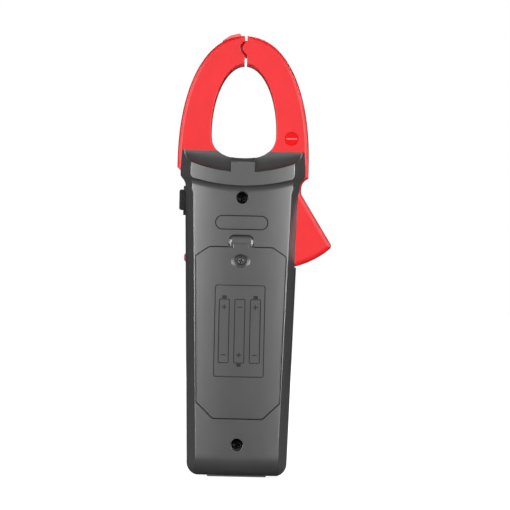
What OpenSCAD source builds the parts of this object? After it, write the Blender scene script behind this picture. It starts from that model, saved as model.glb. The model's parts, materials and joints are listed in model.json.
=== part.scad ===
// Clamp meter: a hand-held tester whose jaws open when the side trigger is squeezed.
// X runs across the meter, Y from the display side (-Y) to the rear (+Y), Z along its length.
// The origin is the middle of the flat lip at the bottom end. The trigger is on the -X side.

/* [Case] */
// Length of the grip, from the bottom end to the neck under the jaws
grip_len = 153; // [150:1:190]
// How much each side of the grip draws in from the neck to the bottom
grip_taper = 4.1; // [2:0.1:5]
// How far the rear face stands behind the parting plane
rear_depth = 16.5; // [16:0.5:20]
// How far the display face stands in front of the parting plane
front_depth = 18; // [18:0.5:22]
// Thickness of the moulded case walls
case_wall = 2.2; // [1.8:0.1:2.6]
// Corner radius of the bottom end
corner_r = 6.4; // [4:0.2:9]
// Height of the shoulders that hold the jaws, above the neck
hub_h = 19.3; // [18:0.1:22]

/* [Jaws] */
// Width across both jaws
jaw_w = 69.6; // [69:0.2:86]
// Height of the jaw ring above its widest line
jaw_h = 68.4; // [64:0.2:84]
// Width of one jaw bar at its widest line
jaw_bar = 17.55; // [16:0.05:20]
// Thickness of the jaws, front to rear
jaw_t = 18; // [17:0.5:20]
// Thickness of the jaw mouldings' walls
jaw_wall = 1.8; // [1.4:0.1:2.2]
// Gap between the two jaw tips
tip_gap = 1.3; // [0.8:0.1:2]
// Thickness of the iron ring halves
core_t = 8; // [6:0.5:9]

/* [Trigger and pivot] */
// Distance from the pivot to the trigger's curved lower edge
trigger_r = 46.7; // [40:0.1:48]
// Thickness of the trigger, front to rear
trigger_t = 17; // [14:0.5:17]
// Diameter of the pivot pin
pivot_d = 5; // [4:0.1:6]
// Radial clearance between the pivot pin and its bush
pivot_gap = 0.05; // [0.02:0.01:0.08]

/* [Selector] */
// Diameter of the selector knob
knob_d = 50; // [44:1:52]
// Height of the selector knob above the display face
knob_h = 6.6; // [5:0.1:9]
// Diameter of the selector's shaft
shaft_d = 12; // [9:0.5:14]
// How far the selector's thumb tab reaches from the shaft
tab_reach = 31; // [29:0.5:33]

/* [Display and keys] */
// Width of the display window
lcd_w = 42; // [36:1:43]
// Height of the display window
lcd_h = 32; // [26:1:36]
// Width of one key
key_w = 9; // [7:0.5:10]
// Travel of one key
key_travel = 0.8; // [0.5:0.1:1]
// Travel of the side button
button_travel = 1; // [0.6:0.1:1.2]

/* [Battery] */
// Diameter of one battery cell
cell_d = 10.5; // [10:0.1:12.6]
// Length of one battery cell
cell_len = 44.5; // [40:0.5:50]
// Thickness of the battery door
door_t = 1.8; // [1.5:0.1:2]
// Gap around the battery door
door_gap = 0.35; // [0.2:0.05:0.5]

/* [Sockets and screws] */
// Bore of the test lead sockets
socket_bore = 4.1; // [4:0.05:4.3]
// Distance between the two test lead sockets
socket_pitch = 19; // [19:0.5:22]
// Thread diameter of the case screws
screw_d = 3; // [2.5:0.1:3.5]
// Diameter of the wells that the case screws sit in
well_d = 6.4; // [6:0.1:7]

/* [Hidden] */
$fn = 48;
eps = 0.01;
gap = 0.4;          // gap between the case and what moves in it
fit = 0.1;          // gap between pieces that are fitted together
tap_fit = 0.03;     // gap around a screw's thread in its pilot hole

// Levels along Z
neck_z = grip_len;
hub_z = neck_z + hub_h;
jaw_z = neck_z + 12;
open_z = neck_z + 29.6;
dial_z = neck_z - 37.5;
key_z = dial_z - 31.3;
lcd_z = key_z - 8.2 - lcd_h / 2;
top_screw_z = neck_z - 5.4;
low_screw_z = 17.5;
button_z = neck_z - 6.9;
pill_z = neck_z - 18.5;
led_z = neck_z - 9.5;

// Widths
shoulder_w = jaw_w - 1.6;
grip_top_w = jaw_w - 8.8;
grip_low_w = grip_top_w - 2 * grip_taper;
open_w = jaw_w - 2 * jaw_bar;
open_rise = 35.7;
open_drop = 14.2;
notch_r = 6.4;
notch_x = grip_top_w / 2 + 0.7 + notch_r;
saddle_x = open_w / 2 - 4.3;
saddle_wall = 2.2;
lip_w = 32;
lip_h = 0.5;
side_round = 5;
end_round = 10;

// Depths along Y
slot_y = jaw_t / 2 + gap;
pocket_y = slot_y + 2;
band_y = rear_depth + 2.5;
front_hub_y = slot_y + 2.4;
front_in = front_depth - case_wall + 0.2;
board_y = front_depth - 5.4;
board_t = 1.6;
board_x = grip_low_w / 2 - 2.2;
board_low = 24;
board_screw_at = [for (s = [-1, 1], z = [board_low + 8, dial_z - 23.5]) [s * (board_x - 3), z]];
led_x = 14;

// Pivot and trigger
pivot = [18.3 - jaw_w / 2, neck_z + 4];
bush_r = pivot_d / 2 + 1.5;
column_r = bush_r + 1.2;
boss_r = column_r + 3.3;
pin_boss_r = pivot_d / 2 + 2;
trigger_top = [-grip_top_w / 2 - 0.85, neck_z - 2.9];
trigger_lean = 31.8;
trigger_inner_a = 11.5;
trigger_corner_r = 2.6;
far = 60;

pin_at = [9.4 - jaw_w / 2, neck_z + 26.5];
pin_r = 3.65;
lug_x = [10, 20.5];
lug_z = neck_z - 2;
lug_r = 1.9;

// Battery door and bay
door_top = neck_z - 31.5;
door_low = 31.2;
door_top_w = grip_top_w - 13.4;
door_low_w = grip_low_w - 8.8;
door_screw_z = door_top - 7.3;
door_in = rear_depth - door_t;
ledge_y = door_in - 0.2;
ledge_t = 1.6;
pad_t = 0.7;
hook_x = [-9, 9];
hook_w = 6;
cell_pitch = cell_d + 0.5;
cell_y = door_in - pad_t - 0.05 - cell_d / 2;
bay_in_w = 3 * cell_pitch + 1;
bay_wall = 1.6;
bay_floor_y = cell_y - cell_d / 2 - 0.2;
contact_t = 0.4;
spring_len = 5.4;
bay_low = door_low + 14;
bay_len = cell_len + spring_len + 2 * contact_t + 0.2;
cell_button = 1;
door_screw_r = 1.25;
door_well_r = 3.3;
door_boss_r = 3.9;

// Selector
skirt_h = 4.4;

// Sockets
socket_y = -8.5;
socket_depth = 22;
collar_r = 6.1;
collar_in_r = 4.6;
sleeve_r = 2.7;

// Tip of the jaws: the moving jaw's nose lies in a groove of the fixed jaw
tip_z = jaw_z + jaw_h;
nose_low = tip_z - 10.4;
nose_high = tip_z - 2.4;
nose_out = 2.35;
fixed_tip_x = 0.45;
moving_tip_x = fixed_tip_x - tip_gap;

function super(a, b, n, from, to, step) = [for (t = [from:step:to])
    [a * sign(cos(t)) * pow(abs(cos(t)), 2 / n), b * sign(sin(t)) * pow(abs(sin(t)), 2 / n)]];
function shift(points, by) = [for (p = points) p + by];
function unit(v) = v / norm(v);

// A flat outline in X and Z, made solid from y0 to y1
module slab(y0, y1) {
    translate([0, y1, 0]) rotate([90, 0, 0]) linear_extrude(y1 - y0) children();
}

// A round bar along Y from y0 to y1, at x and z
module post(at, r, y0, y1) {
    translate([at[0], y0, at[1]]) rotate([-90, 0, 0]) cylinder(h = y1 - y0, r = r);
}

module box(low, high) {
    translate(low) cube(high - low);
}

// A round wire through the points; up is a direction that the wire never runs along
module wire(points, r, up) {
    n = len(points);
    sides = 8;
    rings = [for (i = [0:n - 1])
        let (t = unit(points[min(i + 1, n - 1)] - points[max(i - 1, 0)]),
            u = unit(cross(t, up)), v = cross(t, u))
        [for (k = [0:sides - 1]) points[i] + r * (cos(45 * k) * u + sin(45 * k) * v)]];
    polyhedron(
        points = [for (ring = rings) each ring],
        faces = concat(
            [[for (k = [0:sides - 1]) k]],
            [for (i = [0:n - 2]) for (k = [0:sides - 1])
                [i * sides + k, (i + 1) * sides + k,
                (i + 1) * sides + (k + 1) % sides, i * sides + (k + 1) % sides]],
            [[for (k = [0:sides - 1]) n * sides - 1 - k]]));
}

// Half of the grip as one rounded form. Each layer is [inset at the sides, lift at the bottom,
// depth, height of its top end]
module grip_form(sign, layers) {
    hull() for (layer = layers, s = [-1, 1]) {
        r = max(corner_r - layer[0], 1);
        depth = layer[2];
        y = sign > 0 ? 0 : -depth;
        post([s * (grip_low_w / 2 - layer[0] - r), lip_h + layer[1] + r], r, y, y + depth, $fn = 32);
        x = grip_top_w / 2 - layer[0];
        box([min(s * x, s * (x - 1)), y, layer[3] - 1], [max(s * x, s * (x - 1)), y + depth, layer[3]]);
    }
}

module notches() {
    for (s = [-1, 1]) translate([s * notch_x, neck_z]) circle(notch_r);
}

module jaw_opening() {
    polygon(shift(concat(super(open_w / 2, open_rise, 2, 0, 180, 6),
        super(open_w / 2, open_drop, 2.5, 186, 354, 6)), [0, open_z]));
}

// The strip of case that closes the bottom of the jaw opening
module saddle() {
    intersection() {
        difference() {
            offset(r = saddle_wall) jaw_opening();
            jaw_opening();
        }
        translate([-saddle_x, neck_z]) square([2 * saddle_x, open_z - neck_z]);
    }
}

module hub_outline() {
    difference() {
        polygon([[-grip_top_w / 2, neck_z - 4], [grip_top_w / 2, neck_z - 4],
            [grip_top_w / 2, neck_z - 3], [shoulder_w / 2, neck_z],
            [shoulder_w / 2, neck_z + 10], [shoulder_w / 2 - 0.6, hub_z],
            [0.6 - shoulder_w / 2, hub_z], [-shoulder_w / 2, neck_z + 10],
            [-shoulder_w / 2, neck_z], [-grip_top_w / 2, neck_z - 3]]);
        jaw_opening();
        notches();
    }
}

// The space in both case halves that the jaws and the trigger stand in
module jaw_slot() {
    difference() {
        union() {
            translate([-far, neck_z + 0.4]) square([2 * far, far]);
            translate([case_wall - grip_top_w / 2, neck_z - 4.6])
                square([grip_top_w - 2 * case_wall, 6]);
        }
        saddle();
        translate([0, top_screw_z]) circle(well_d / 2 + 1.1);
    }
    intersection() {
        translate(pivot) circle(trigger_r + 0.6, $fn = 96);
        translate([-far, neck_z - far]) square([far - grip_top_w / 2 + 8, far + 1]);
    }
}

// The raised band under the jaws, between two long arcs
module band_outline() {
    low_r = 94.3;
    high_r = 76.7;
    low_z = neck_z + 0.8;
    high_z = neck_z + 8.1;
    difference() {
        intersection() {
            hub_outline();
            translate([0, low_z + low_r]) circle(low_r, $fn = 180);
        }
        translate([0, high_z + high_r]) circle(high_r, $fn = 180);
    }
}

module door_outline(grow = 0) {
    offset(delta = grow) polygon([
        [-door_top_w / 2 + 7.1, door_top], [door_top_w / 2 - 7.1, door_top],
        [door_top_w / 2, door_top - 4.8], [door_low_w / 2, door_low + 8.4],
        [door_low_w / 2 - 8.8, door_low], [8.8 - door_low_w / 2, door_low],
        [-door_low_w / 2, door_low + 8.4], [-door_top_w / 2, door_top - 4.8]]);
}

module pill(w, h) {
    square([w - h, h], center = true);
    for (s = [-1, 1]) translate([s * (w - h) / 2, 0]) circle(h / 2);
}

module button_hole(grow) {
    translate([grip_top_w / 2 - 6, -4 - grow, button_z - 8.1 - grow])
        cube([12, 8 + 2 * grow, 13.7 + 2 * grow]);
}

// ---- Case ----

module rear_case() {
    color("#5d5e60") difference() {
        union() {
            grip_form(1, [[0, 0, rear_depth - 6, neck_z], [1.4, end_round / 4, rear_depth - 2.6, neck_z + 4],
                [side_round, end_round, rear_depth, neck_z + 6]]);
            slab(0, pocket_y) hub_outline();
            rear_band();
            box([-lip_w / 2, 0, 0], [lip_w / 2, rear_depth - 7.5, 3]);
        }
        difference() {
            grip_form(1, [[case_wall, case_wall, rear_depth - 7, neck_z - 4.6],
                [side_round + 1, end_round, rear_depth - case_wall, neck_z - 4.6]]);
            for (z = [top_screw_z, low_screw_z]) post([0, z], well_d / 2 + 1.1, -1, rear_depth);
            slab(ledge_y - ledge_t, rear_depth) door_outline(2);
            slab(bay_floor_y - bay_wall, rear_depth)
                translate([-bay_in_w / 2 - bay_wall, bay_low - bay_wall])
                square([bay_in_w + 2 * bay_wall, bay_len + 2 * bay_wall]);
            post([0, door_screw_z], door_boss_r + 1.5, 3.5, rear_depth);
        }
        slab(-eps, slot_y) jaw_slot();
        for (z = [top_screw_z, low_screw_z]) {
            post([0, z], well_d / 2, 7, band_y + 1);
            post([0, z], screw_d / 2 + 0.2, -eps, 8);
        }
        slab(ledge_y, rear_depth + 1) door_outline(door_gap);
        slab(bay_floor_y, ledge_y + eps) translate([-bay_in_w / 2, bay_low]) square([bay_in_w, bay_len]);
        for (x = hook_x) {
            box([x - hook_w / 2 - gap, ledge_y - ledge_t - 1, door_low - 2.3],
                [x + hook_w / 2 + gap, ledge_y, door_low + 4.8]);
        }
        post([0, door_screw_z], door_boss_r + 0.3, 10.8, ledge_y + eps);
        post([0, door_screw_z], door_screw_r + 0.55, 3, 11);
        slab(rear_depth - 0.5, rear_depth + 1) translate([0, pill_z]) difference() {
            pill(28, 7.65);
            pill(27, 6.65);
        }
        slab(rear_depth - 1.4, rear_depth + 1) finger_recess();
        button_hole(0.3);
        post(pivot, pivot_d / 2, 0, slot_y + 4);
    }
    color("#5d5e60") jaw_holders(1, pocket_y);
}

// The band and the bridge between the two pockets, with ends that slope down
module rear_band() {
    intersection() {
        slab(pocket_y - 0.5, band_y) {
            band_outline();
            difference() {
                translate([-6.35, neck_z]) square([12.7, hub_h]);
                jaw_opening();
            }
        }
        hull() {
            box([-shoulder_w / 2, pocket_y - 1, neck_z - 4], [shoulder_w / 2, pocket_y, hub_z]);
            box([7 - shoulder_w / 2, pocket_y, neck_z - 4], [shoulder_w / 2 - 7, band_y, neck_z + 12]);
        }
    }
}

module finger_recess() {
    translate([0, door_top]) {
        polygon([[-6.9, -0.5], [6.9, -0.5], [6.7, 3.5], [-6.7, 3.5]]);
        translate([-3.5, 3.4]) square([7, 3.3]);
        for (s = [-1, 1]) translate([s * 3.5, 3.5]) circle(3.2);
    }
}

// The posts that hold the fixed jaw and the ring round the pivot pin, on the rear when sign is 1
module jaw_holders(sign, reach) {
    mirror([0, sign > 0 ? 0 : 1, 0]) {
        for (x = lug_x) post([x, lug_z], lug_r, 0, reach - 0.5);
        difference() {
            post(pivot, pin_boss_r, jaw_t / 2 - 1.3, slot_y + 0.5);
            post(pivot, pivot_d / 2, 0, slot_y + 1);
        }
        if (sign > 0) box([-8, 4, neck_z - 1.3], [-5, reach - 0.5, neck_z + 0.2]);
    }
}

module front_case() {
    color("#4c4d4f") difference() {
        union() {
            grip_form(-1, [[0, 0, front_depth - 5, neck_z], [1.2, 1.5, front_depth - 2, neck_z - 0.8],
                [4, 4, front_depth, neck_z - 3]]);
            slab(-front_hub_y, 0) hub_outline();
            box([-lip_w / 2, 5 - front_depth, 0], [lip_w / 2, 0, 3]);
        }
        difference() {
            grip_form(-1, [[case_wall, case_wall, front_depth - 6, neck_z - 4.6],
                [4.4, 4.6, front_in, neck_z - 4.6]]);
            for (z = [top_screw_z, low_screw_z]) post([0, z], screw_d / 2 + 2, -front_depth, 1);
            for (at = board_screw_at) post(at, 2.6, -front_depth, -board_y);
            box([-lip_w / 2, -front_depth, 0], [lip_w / 2, 1, 3]);
        }
        slab(-slot_y, eps) jaw_slot();
        for (z = [top_screw_z, low_screw_z]) post([0, z], screw_d / 2 + tap_fit, -12.5, eps);
        for (at = board_screw_at) post(at, 1 + tap_fit, -board_y - 3, -board_y + eps);
        for (s = [-1, 1]) translate([s * socket_pitch / 2, socket_y, -1])
            cylinder(h = socket_depth, r = collar_r + fit);
        slab(-front_depth - 1, 0) translate([0, lcd_z]) square([lcd_w, lcd_h], center = true);
        slab(-front_depth - 1, 1.2 - front_depth) translate([0, lcd_z])
            square([lcd_w + 3, lcd_h + 3], center = true);
        for (i = [0:3]) slab(-front_depth - 1, 0) translate([key_x(i), key_z]) pill(key_w + 0.4, 5.9);
        post([0, dial_z], shaft_d / 2 + 0.08, -front_depth - 1, 0);
        post([led_x, led_z], 2 + fit, -front_depth - 1, 0);
        button_hole(0.3);
        post(pivot, pivot_d / 2, -slot_y - 1.4, 0);
    }
    color("#4c4d4f") jaw_holders(-1, front_hub_y);
}

// A cross-head screw along Y, its head's top at y1
module cross_screw(at, r, head_r, head_h, y0, y1) {
    difference() {
        union() {
            post(at, r, y0, y1);
            post(at, head_r, y1 - head_h, y1);
        }
        for (a = [0, 90]) translate([at[0], y1, at[1]]) rotate([0, a, 0])
            cube([head_r * 1.2, 2, head_r * 0.3], center = true);
    }
}

module case_screws() {
    color("#1a1a1c") for (z = [top_screw_z, low_screw_z])
        cross_screw([0, z], screw_d / 2, screw_d * 0.92, 2, -11, 9);
}

// ---- Battery ----

module battery_door() {
    color("#5a5b5d") difference() {
        union() {
            slab(door_in, rear_depth) door_outline();
            post([0, door_screw_z], door_boss_r, 11.2, rear_depth);
            for (x = hook_x) box([x - hook_w / 2, door_in - 2, door_low - 1.8],
                [x + hook_w / 2, door_in + eps, door_low + 3]);
            slab(rear_depth - 1.2, rear_depth) translate([-4, door_top - 1]) square([8, 2.8]);
        }
        for (x = hook_x) box([x - hook_w, door_in - 0.4, door_low - 3],
            [x + hook_w, rear_depth + 1, door_low]);
        post([0, door_screw_z], door_well_r, 12.6, rear_depth + 1);
        post([0, door_screw_z], door_screw_r + 0.15, 11, 13);
        slab(rear_depth - 0.4, rear_depth + 1) translate([0, (door_top + door_low) / 2 + 1]) difference() {
            offset(r = 1.5) square([23.6, 45.6], center = true);
            offset(r = 1) square([23.6, 45.6], center = true);
        }
    }
}

module door_screw() {
    color("#1f1f21") cross_screw([0, door_screw_z], door_screw_r, 2.1, 1.6, 5, 14.2);
}

module door_pad() {
    color("#2b2b2b") box([-bay_in_w / 2 + 2, door_in - pad_t, bay_low + 10],
        [bay_in_w / 2 - 2, door_in, bay_low + 26]);
}

function cell_x(i) = (i - 1) * cell_pitch;
function cell_up(i) = i != 1;

// One cell: its button end points up when up is true
module cell(i) {
    low = bay_low + contact_t + (cell_up(i) ? spring_len : 0) + 0.1;
    translate([cell_x(i), cell_y, low]) mirror([0, 0, cell_up(i) ? 0 : 1])
        translate([0, 0, cell_up(i) ? 0 : -cell_len]) {
        color("#2f3a40") cylinder(h = cell_len - cell_button, r = cell_d / 2);
        color("silver") cylinder(h = cell_len, r = cell_d / 4);
    }
}

module battery_cell_1() cell(0);
module battery_cell_2() cell(1);
module battery_cell_3() cell(2);

// The flat part of a contact, against the bay's low or high end wall
module contact_plate(i, high) {
    z = high ? bay_low + bay_len - contact_t : bay_low;
    box([cell_x(i) - 4.4, bay_floor_y + 0.3, z], [cell_x(i) + 4.4, bay_floor_y + 9, z + contact_t]);
}

module battery_springs() {
    wire_r = 0.35;
    turns = 3;
    color("gainsboro") for (i = [0:2]) {
        up = cell_up(i);
        contact_plate(i, !up);
        z0 = up ? bay_low + contact_t : bay_low + bay_len - contact_t;
        s = up ? 1 : -1;
        wire([for (k = [0:16 * turns]) let (f = k / (16 * turns), r = 3.9 - 1.4 * f)
            [cell_x(i) + r * cos(22.5 * k), cell_y + r * sin(22.5 * k),
            z0 + s * (wire_r - 0.1 + f * (spring_len - 2 * wire_r))]], wire_r, [0, 0, s]);
    }
}

module battery_plates() {
    color("gainsboro") for (i = [0:2]) contact_plate(i, cell_up(i));
}

// ---- Jaws ----

// Everything inside the ring's outer line, down to the neck
module ring_outline() {
    difference() {
        union() {
            polygon(shift(super(jaw_w / 2, jaw_h, 2.2, 0, 180, 4), [0, jaw_z]));
            translate([-jaw_w / 2, neck_z]) square([jaw_w, jaw_z - neck_z + eps]);
        }
        jaw_opening();
        notches();
    }
}

// The line between the jaw tips, closed off at x = edge
module tip_side(x, edge) {
    polygon([[edge, open_z], [x, open_z], [x, nose_low], [x + nose_out, nose_low + 2.7],
        [x + nose_out, nose_high - 2.7], [x, nose_high], [x, tip_z + 2], [edge, tip_z + 2]]);
}

module trigger_outline() {
    dir = [-sin(trigger_lean), -cos(trigger_lean)];
    offset(r = trigger_corner_r, $fn = 32) offset(delta = -trigger_corner_r) intersection() {
        translate(pivot) circle(trigger_r, $fn = 120);
        polygon([pivot + [0, 4], pivot + [-12, 4], trigger_top, trigger_top + far * dir,
            pivot + far * [-sin(trigger_inner_a), -cos(trigger_inner_a)]]);
    }
}

module moving_outline() {
    intersection() {
        ring_outline();
        union() {
            tip_side(moving_tip_x, -far);
            translate([-far, neck_z]) square([far - saddle_x - 0.5, open_z - neck_z + eps]);
        }
    }
    translate(pivot) circle(boss_r);
    trigger_outline();
}

module fixed_outline() {
    difference() {
        union() {
            intersection() {
                ring_outline();
                union() {
                    difference() {
                        translate([0, open_z - eps]) square([far, far]);
                        tip_side(fixed_tip_x, -1);
                    }
                    translate([-10, neck_z + 0.6]) square([far + 10, open_z - neck_z]);
                }
            }
            for (x = lug_x) translate([x, lug_z]) circle(lug_r + 1.5);
        }
        translate(pivot) circle(boss_r + 0.5);
        intersection() {
            offset(r = saddle_wall + gap) jaw_opening();
            translate([-saddle_x - 0.4, neck_z]) square([2 * saddle_x + 0.8, 40]);
        }
        for (x = lug_x) translate([x, lug_z]) circle(lug_r + fit);
        translate([-far, neck_z + 12.4]) square([far - 11, 17]);
    }
}

// The ring's iron, from the jaw's outline
module core_outline(inset) {
    intersection() {
        offset(delta = -inset) children();
        translate([-far, neck_z + 1.8]) square([2 * far, 2 * far]);
    }
}

// A hollow half of a jaw, on the rear side when sign is 1
module jaw_shell(sign) {
    low = sign > 0 ? 0 : -jaw_t / 2;
    high = sign > 0 ? jaw_t / 2 : 0;
    difference() {
        slab(low, high) children();
        slab(low + (sign > 0 ? -eps : jaw_wall), high - (sign > 0 ? jaw_wall : -eps))
            offset(delta = -jaw_wall) children();
    }
}

module cap_outline(grow = 0) {
    offset(delta = grow) polygon([[2.1, tip_z - 2.6], [12.6, tip_z - 4.3], [11.4, tip_z - 2],
        [8.6, tip_z - 0.2], [6, tip_z + 0.9], [3.4, tip_z + 1.7], [1.9, tip_z - 0.1]]);
}

module fixed_jaw_half(sign) {
    difference() {
        jaw_shell(sign) fixed_outline();
        slab(-4.1, 4.1) cap_outline(fit);
    }
}

module fixed_jaw_rear_shell() color("#f2343c") fixed_jaw_half(1);
module fixed_jaw_front_shell() color("#e92f38") fixed_jaw_half(-1);

module fixed_jaw_core() {
    color("#7d7f83") slab(-core_t / 2, core_t / 2) difference() {
        core_outline(3.2) fixed_outline();
        translate([0, tip_z - 20]) square([6, 20]);
    }
}

module moving_jaw_core() {
    color("#7d7f83") slab(-core_t / 2, core_t / 2) difference() {
        core_outline(3.2) moving_outline();
        translate(pivot) circle(column_r + fit);
        translate([-6, tip_z - 20]) square([9, 20]);
    }
}

// The winding on a jaw's core, over a stretch of the bar
module winding() {
    difference() {
        slab(-core_t / 2 - 2, core_t / 2 + 2) intersection() {
            offset(delta = -2.1) children();
            translate([-far, open_z + 2]) square([2 * far, 17]);
        }
        slab(-core_t / 2 - fit, core_t / 2 + fit) offset(delta = -3.1) children();
    }
}

module fixed_jaw_coil() color("#b4652d") winding() fixed_outline();
module moving_jaw_coil() color("#b4652d") winding() moving_outline();

module hall_sensor() {
    color("#222222") box([4.75, -2, nose_low + 1.5], [5.8, 2, nose_low + 5.5]);
}

module ncv_sensor_cap() {
    color("#ff6468") slab(-4, 4) cap_outline();
}

// The moving jaw is one piece with its lever and its trigger
module moving_jaw_half(sign) {
    s = sign > 0 ? 0 : 1;
    difference() {
        union() {
            jaw_shell(sign) moving_outline();
            mirror([0, s, 0]) post(pivot, column_r, 0, jaw_t / 2 - 1.5);
        }
        mirror([0, s, 0]) {
            post(pivot, bush_r + 0.02, -eps, jaw_t);
            post(pivot, pin_boss_r + 0.3, jaw_t / 2 - 1.5, jaw_t);
            slab(trigger_t / 2, jaw_t) translate([-far, 0]) square([far, neck_z - 1]);
        }
        if (sign > 0) {
            translate([pivot[0] + 1.5, jaw_t / 2 - 3.1, pivot[1] - boss_r]) cube([8, 2, 4]);
            post(pin_at, pin_r + 0.05, jaw_t / 2 - jaw_wall - 1, jaw_t);
        }
    }
}

module moving_jaw_rear_shell() color("#f2343c") moving_jaw_half(1);
module moving_jaw_front_shell() color("#e92f38") moving_jaw_half(-1);

module jaw_slotted_pin() {
    color("#d8141e") difference() {
        union() {
            post(pin_at, pin_r, jaw_t / 2 - jaw_wall, jaw_t / 2);
            post(pin_at, 2, core_t / 2 + 0.2, jaw_t / 2);
        }
        translate([pin_at[0], jaw_t / 2, pin_at[1]]) cube([3 * pin_r, 1.2, 0.9], center = true);
    }
}

module pivot_pin() {
    color("silver") post(pivot, pivot_d / 2 - 0.02, -slot_y - 1.3, slot_y + 3.8);
}

module pivot_bush() {
    color("#c9a14a") difference() {
        post(pivot, bush_r, 1.6 - jaw_t / 2, jaw_t / 2 - 1.6);
        post(pivot, pivot_d / 2 - 0.02 + pivot_gap, -jaw_t, jaw_t);
    }
}

// Torsion spring round the pivot: one leg in the trigger, the other under a rib of the case
module return_spring() {
    wire_r = 0.45;
    r = column_r + 0.3 + wire_r;
    y0 = core_t / 2 + 0.2 + wire_r;
    y1 = jaw_t / 2 - jaw_wall - 0.2 - wire_r;
    turns = 2.25;
    steps = 36;
    coil = [for (k = [0:steps]) let (f = k / steps, a = 180 + 360 * turns * f)
        [pivot[0] + r * cos(a), y0 + f * (y1 - y0), pivot[1] + r * sin(a)]];
    color("#c8cacc") wire(concat([[pivot[0] - r, y0, pivot[1] - 13]], coil,
        [[pivot[0] + 10.2, y1, pivot[1] - r]]), wire_r, [0, 1, 0]);
}

// ---- Selector ----

module selector_knob() {
    y0 = -front_depth - 0.4;
    color("#2c2d2f") difference() {
        union() {
            post([0, dial_z], knob_d / 2, y0 - skirt_h, y0);
            intersection() {
                post([0, dial_z], knob_d / 2, -front_depth - knob_h, y0);
                box([-knob_d, -front_depth - knob_h, dial_z - 6.5], [knob_d, y0, dial_z + 6.5]);
            }
            post([0, dial_z], shaft_d / 2, y0 - 1, 1.2 - front_in);
        }
        difference() {
            post([0, dial_z], knob_d / 2 - 3, 1.8 - skirt_h + y0, y0 + eps);
            post([0, dial_z], shaft_d / 2 + 1, y0 - knob_h, y0 + 1);
        }
        tab_form(fit);
        post([0, dial_z], 2.5, -front_depth - 3, 0);
    }
}

// The red thumb tab, a bar set into the knob's rim
module tab_form(grow) {
    box([knob_d / 2 - 4 - grow, -front_depth - 4.6 - grow, dial_z - 4 - grow],
        [tab_reach + grow, -front_depth - 0.8 + grow, dial_z + 4 + grow]);
}

module selector_tab() {
    color("#e62a32") tab_form(0);
}

module selector_rotor() {
    color("#d9d6cc") {
        post([0, dial_z], 16, 1.3 - front_in, -board_y - 1);
        post([0, dial_z], 2.45, -front_depth - 2.8, 1.4 - front_in);
        post([0, dial_z], 3, -board_y - 1 - eps, board_t - board_y + 0.6);
    }
}

module selector_wipers() {
    color("#c8a24b") for (a = [0:120:240]) translate([0, -board_y - 1, dial_z]) rotate([0, a, 0])
        box([9, 0, -1.2], [13.5, 0.8, 1.2]);
}

module detent_spring() {
    color("#c8cacc") {
        box([17, -board_y - 3, dial_z - 7], [17.4, -board_y, dial_z + 7]);
        box([17, -board_y - 0.4, dial_z - 9.5], [20.5, -board_y, dial_z - 7]);
    }
}

// ---- Display and keys ----

module lcd_window() {
    color("#3a3f44") slab(0.2 - front_depth, 1.2 - front_depth)
        translate([-lcd_w / 2 - 1.4, lcd_z - lcd_h / 2 - 1.4]) square([lcd_w + 2.8, lcd_h + 2.8]);
}

module lcd_glass() {
    color("#9fab98") slab(0.3 - front_in, 1.9 - front_in)
        translate([-lcd_w / 2 - 0.5, lcd_z - lcd_h / 2 - 0.5]) square([lcd_w + 1, lcd_h + 1]);
}

module lcd_frame() {
    color("#dcdcd6") slab(0.1 - front_in, -board_y) translate([0, lcd_z]) difference() {
        square([lcd_w + 3.4, lcd_h + 3.4], center = true);
        square([lcd_w + 1.2, lcd_h + 1.2], center = true);
    }
}

module backlight_plate() {
    color("#f4f4ee") slab(2 - front_in, -board_y - 0.1)
        translate([-lcd_w / 2 - 0.4, lcd_z - lcd_h / 2 + 2.2]) square([lcd_w + 0.8, lcd_h - 4.4]);
}

module contact_strips() {
    color("#d08a96") for (s = [-1, 1]) slab(1.95 - front_in, -board_y)
        translate([-lcd_w / 2 + 2, lcd_z + s * (lcd_h / 2 - 1) - 0.8]) square([lcd_w - 4, 1.6]);
}

function key_x(i) = (i - 1.5) * (key_w + 3);

module key(i) {
    color("#3b3c3f") {
        slab(-front_depth - 1.2, 1 - front_in) translate([key_x(i), key_z]) pill(key_w, 5.5);
        slab(0.15 - front_in, 0.95 - front_in) translate([key_x(i), key_z]) pill(key_w + 2, 7.5);
        post([key_x(i), key_z], 1.6, 0.5 - front_in, -board_y - 1 - key_travel);
    }
}

module key_select() key(0);
module key_range() key(1);
module key_hold() key(2);
module key_zero() key(3);

module key_switches() {
    color("silver") for (i = [0:3]) post([key_x(i), key_z], 2.6, -board_y - 0.9, -board_y);
}

module side_button() {
    x = grip_top_w / 2 + 3.1;
    color("#161617") {
        box([x - 6.1, -4, button_z - 5.5], [x, 4, button_z + 5.6]);
        box([x - 6.1, -4, button_z - 8.1], [x - 2.1, 4, button_z - 5.5 + eps]);
        box([x - 7.6, -5.2, button_z - 9], [x - 6.1 + eps, 5.2, button_z + 6]);
    }
}

module side_switch() {
    x = grip_top_w / 2 + 3.1 - 7.6 - button_travel - 0.15;
    color("#3d3d42") {
        box([x - 6, -board_y + board_t, button_z - 3.6], [x - 0.8, 2, button_z + 0.7]);
        box([x - 0.8 - eps, -1.4, button_z - 2.6], [x, 1.4, button_z - 0.3]);
    }
}

// ---- Electronics ----

module main_board() {
    color("#2f6b46") difference() {
        slab(-board_y, board_t - board_y) difference() {
            translate([-board_x, board_low]) square([2 * board_x, neck_z - 6 - board_low]);
            translate([0, top_screw_z]) circle(screw_d / 2 + 2.5);
            translate([0, dial_z]) circle(3.08);
        }
        for (at = board_screw_at) post(at, 1.3, -board_y - 1, board_t);
    }
}

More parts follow.
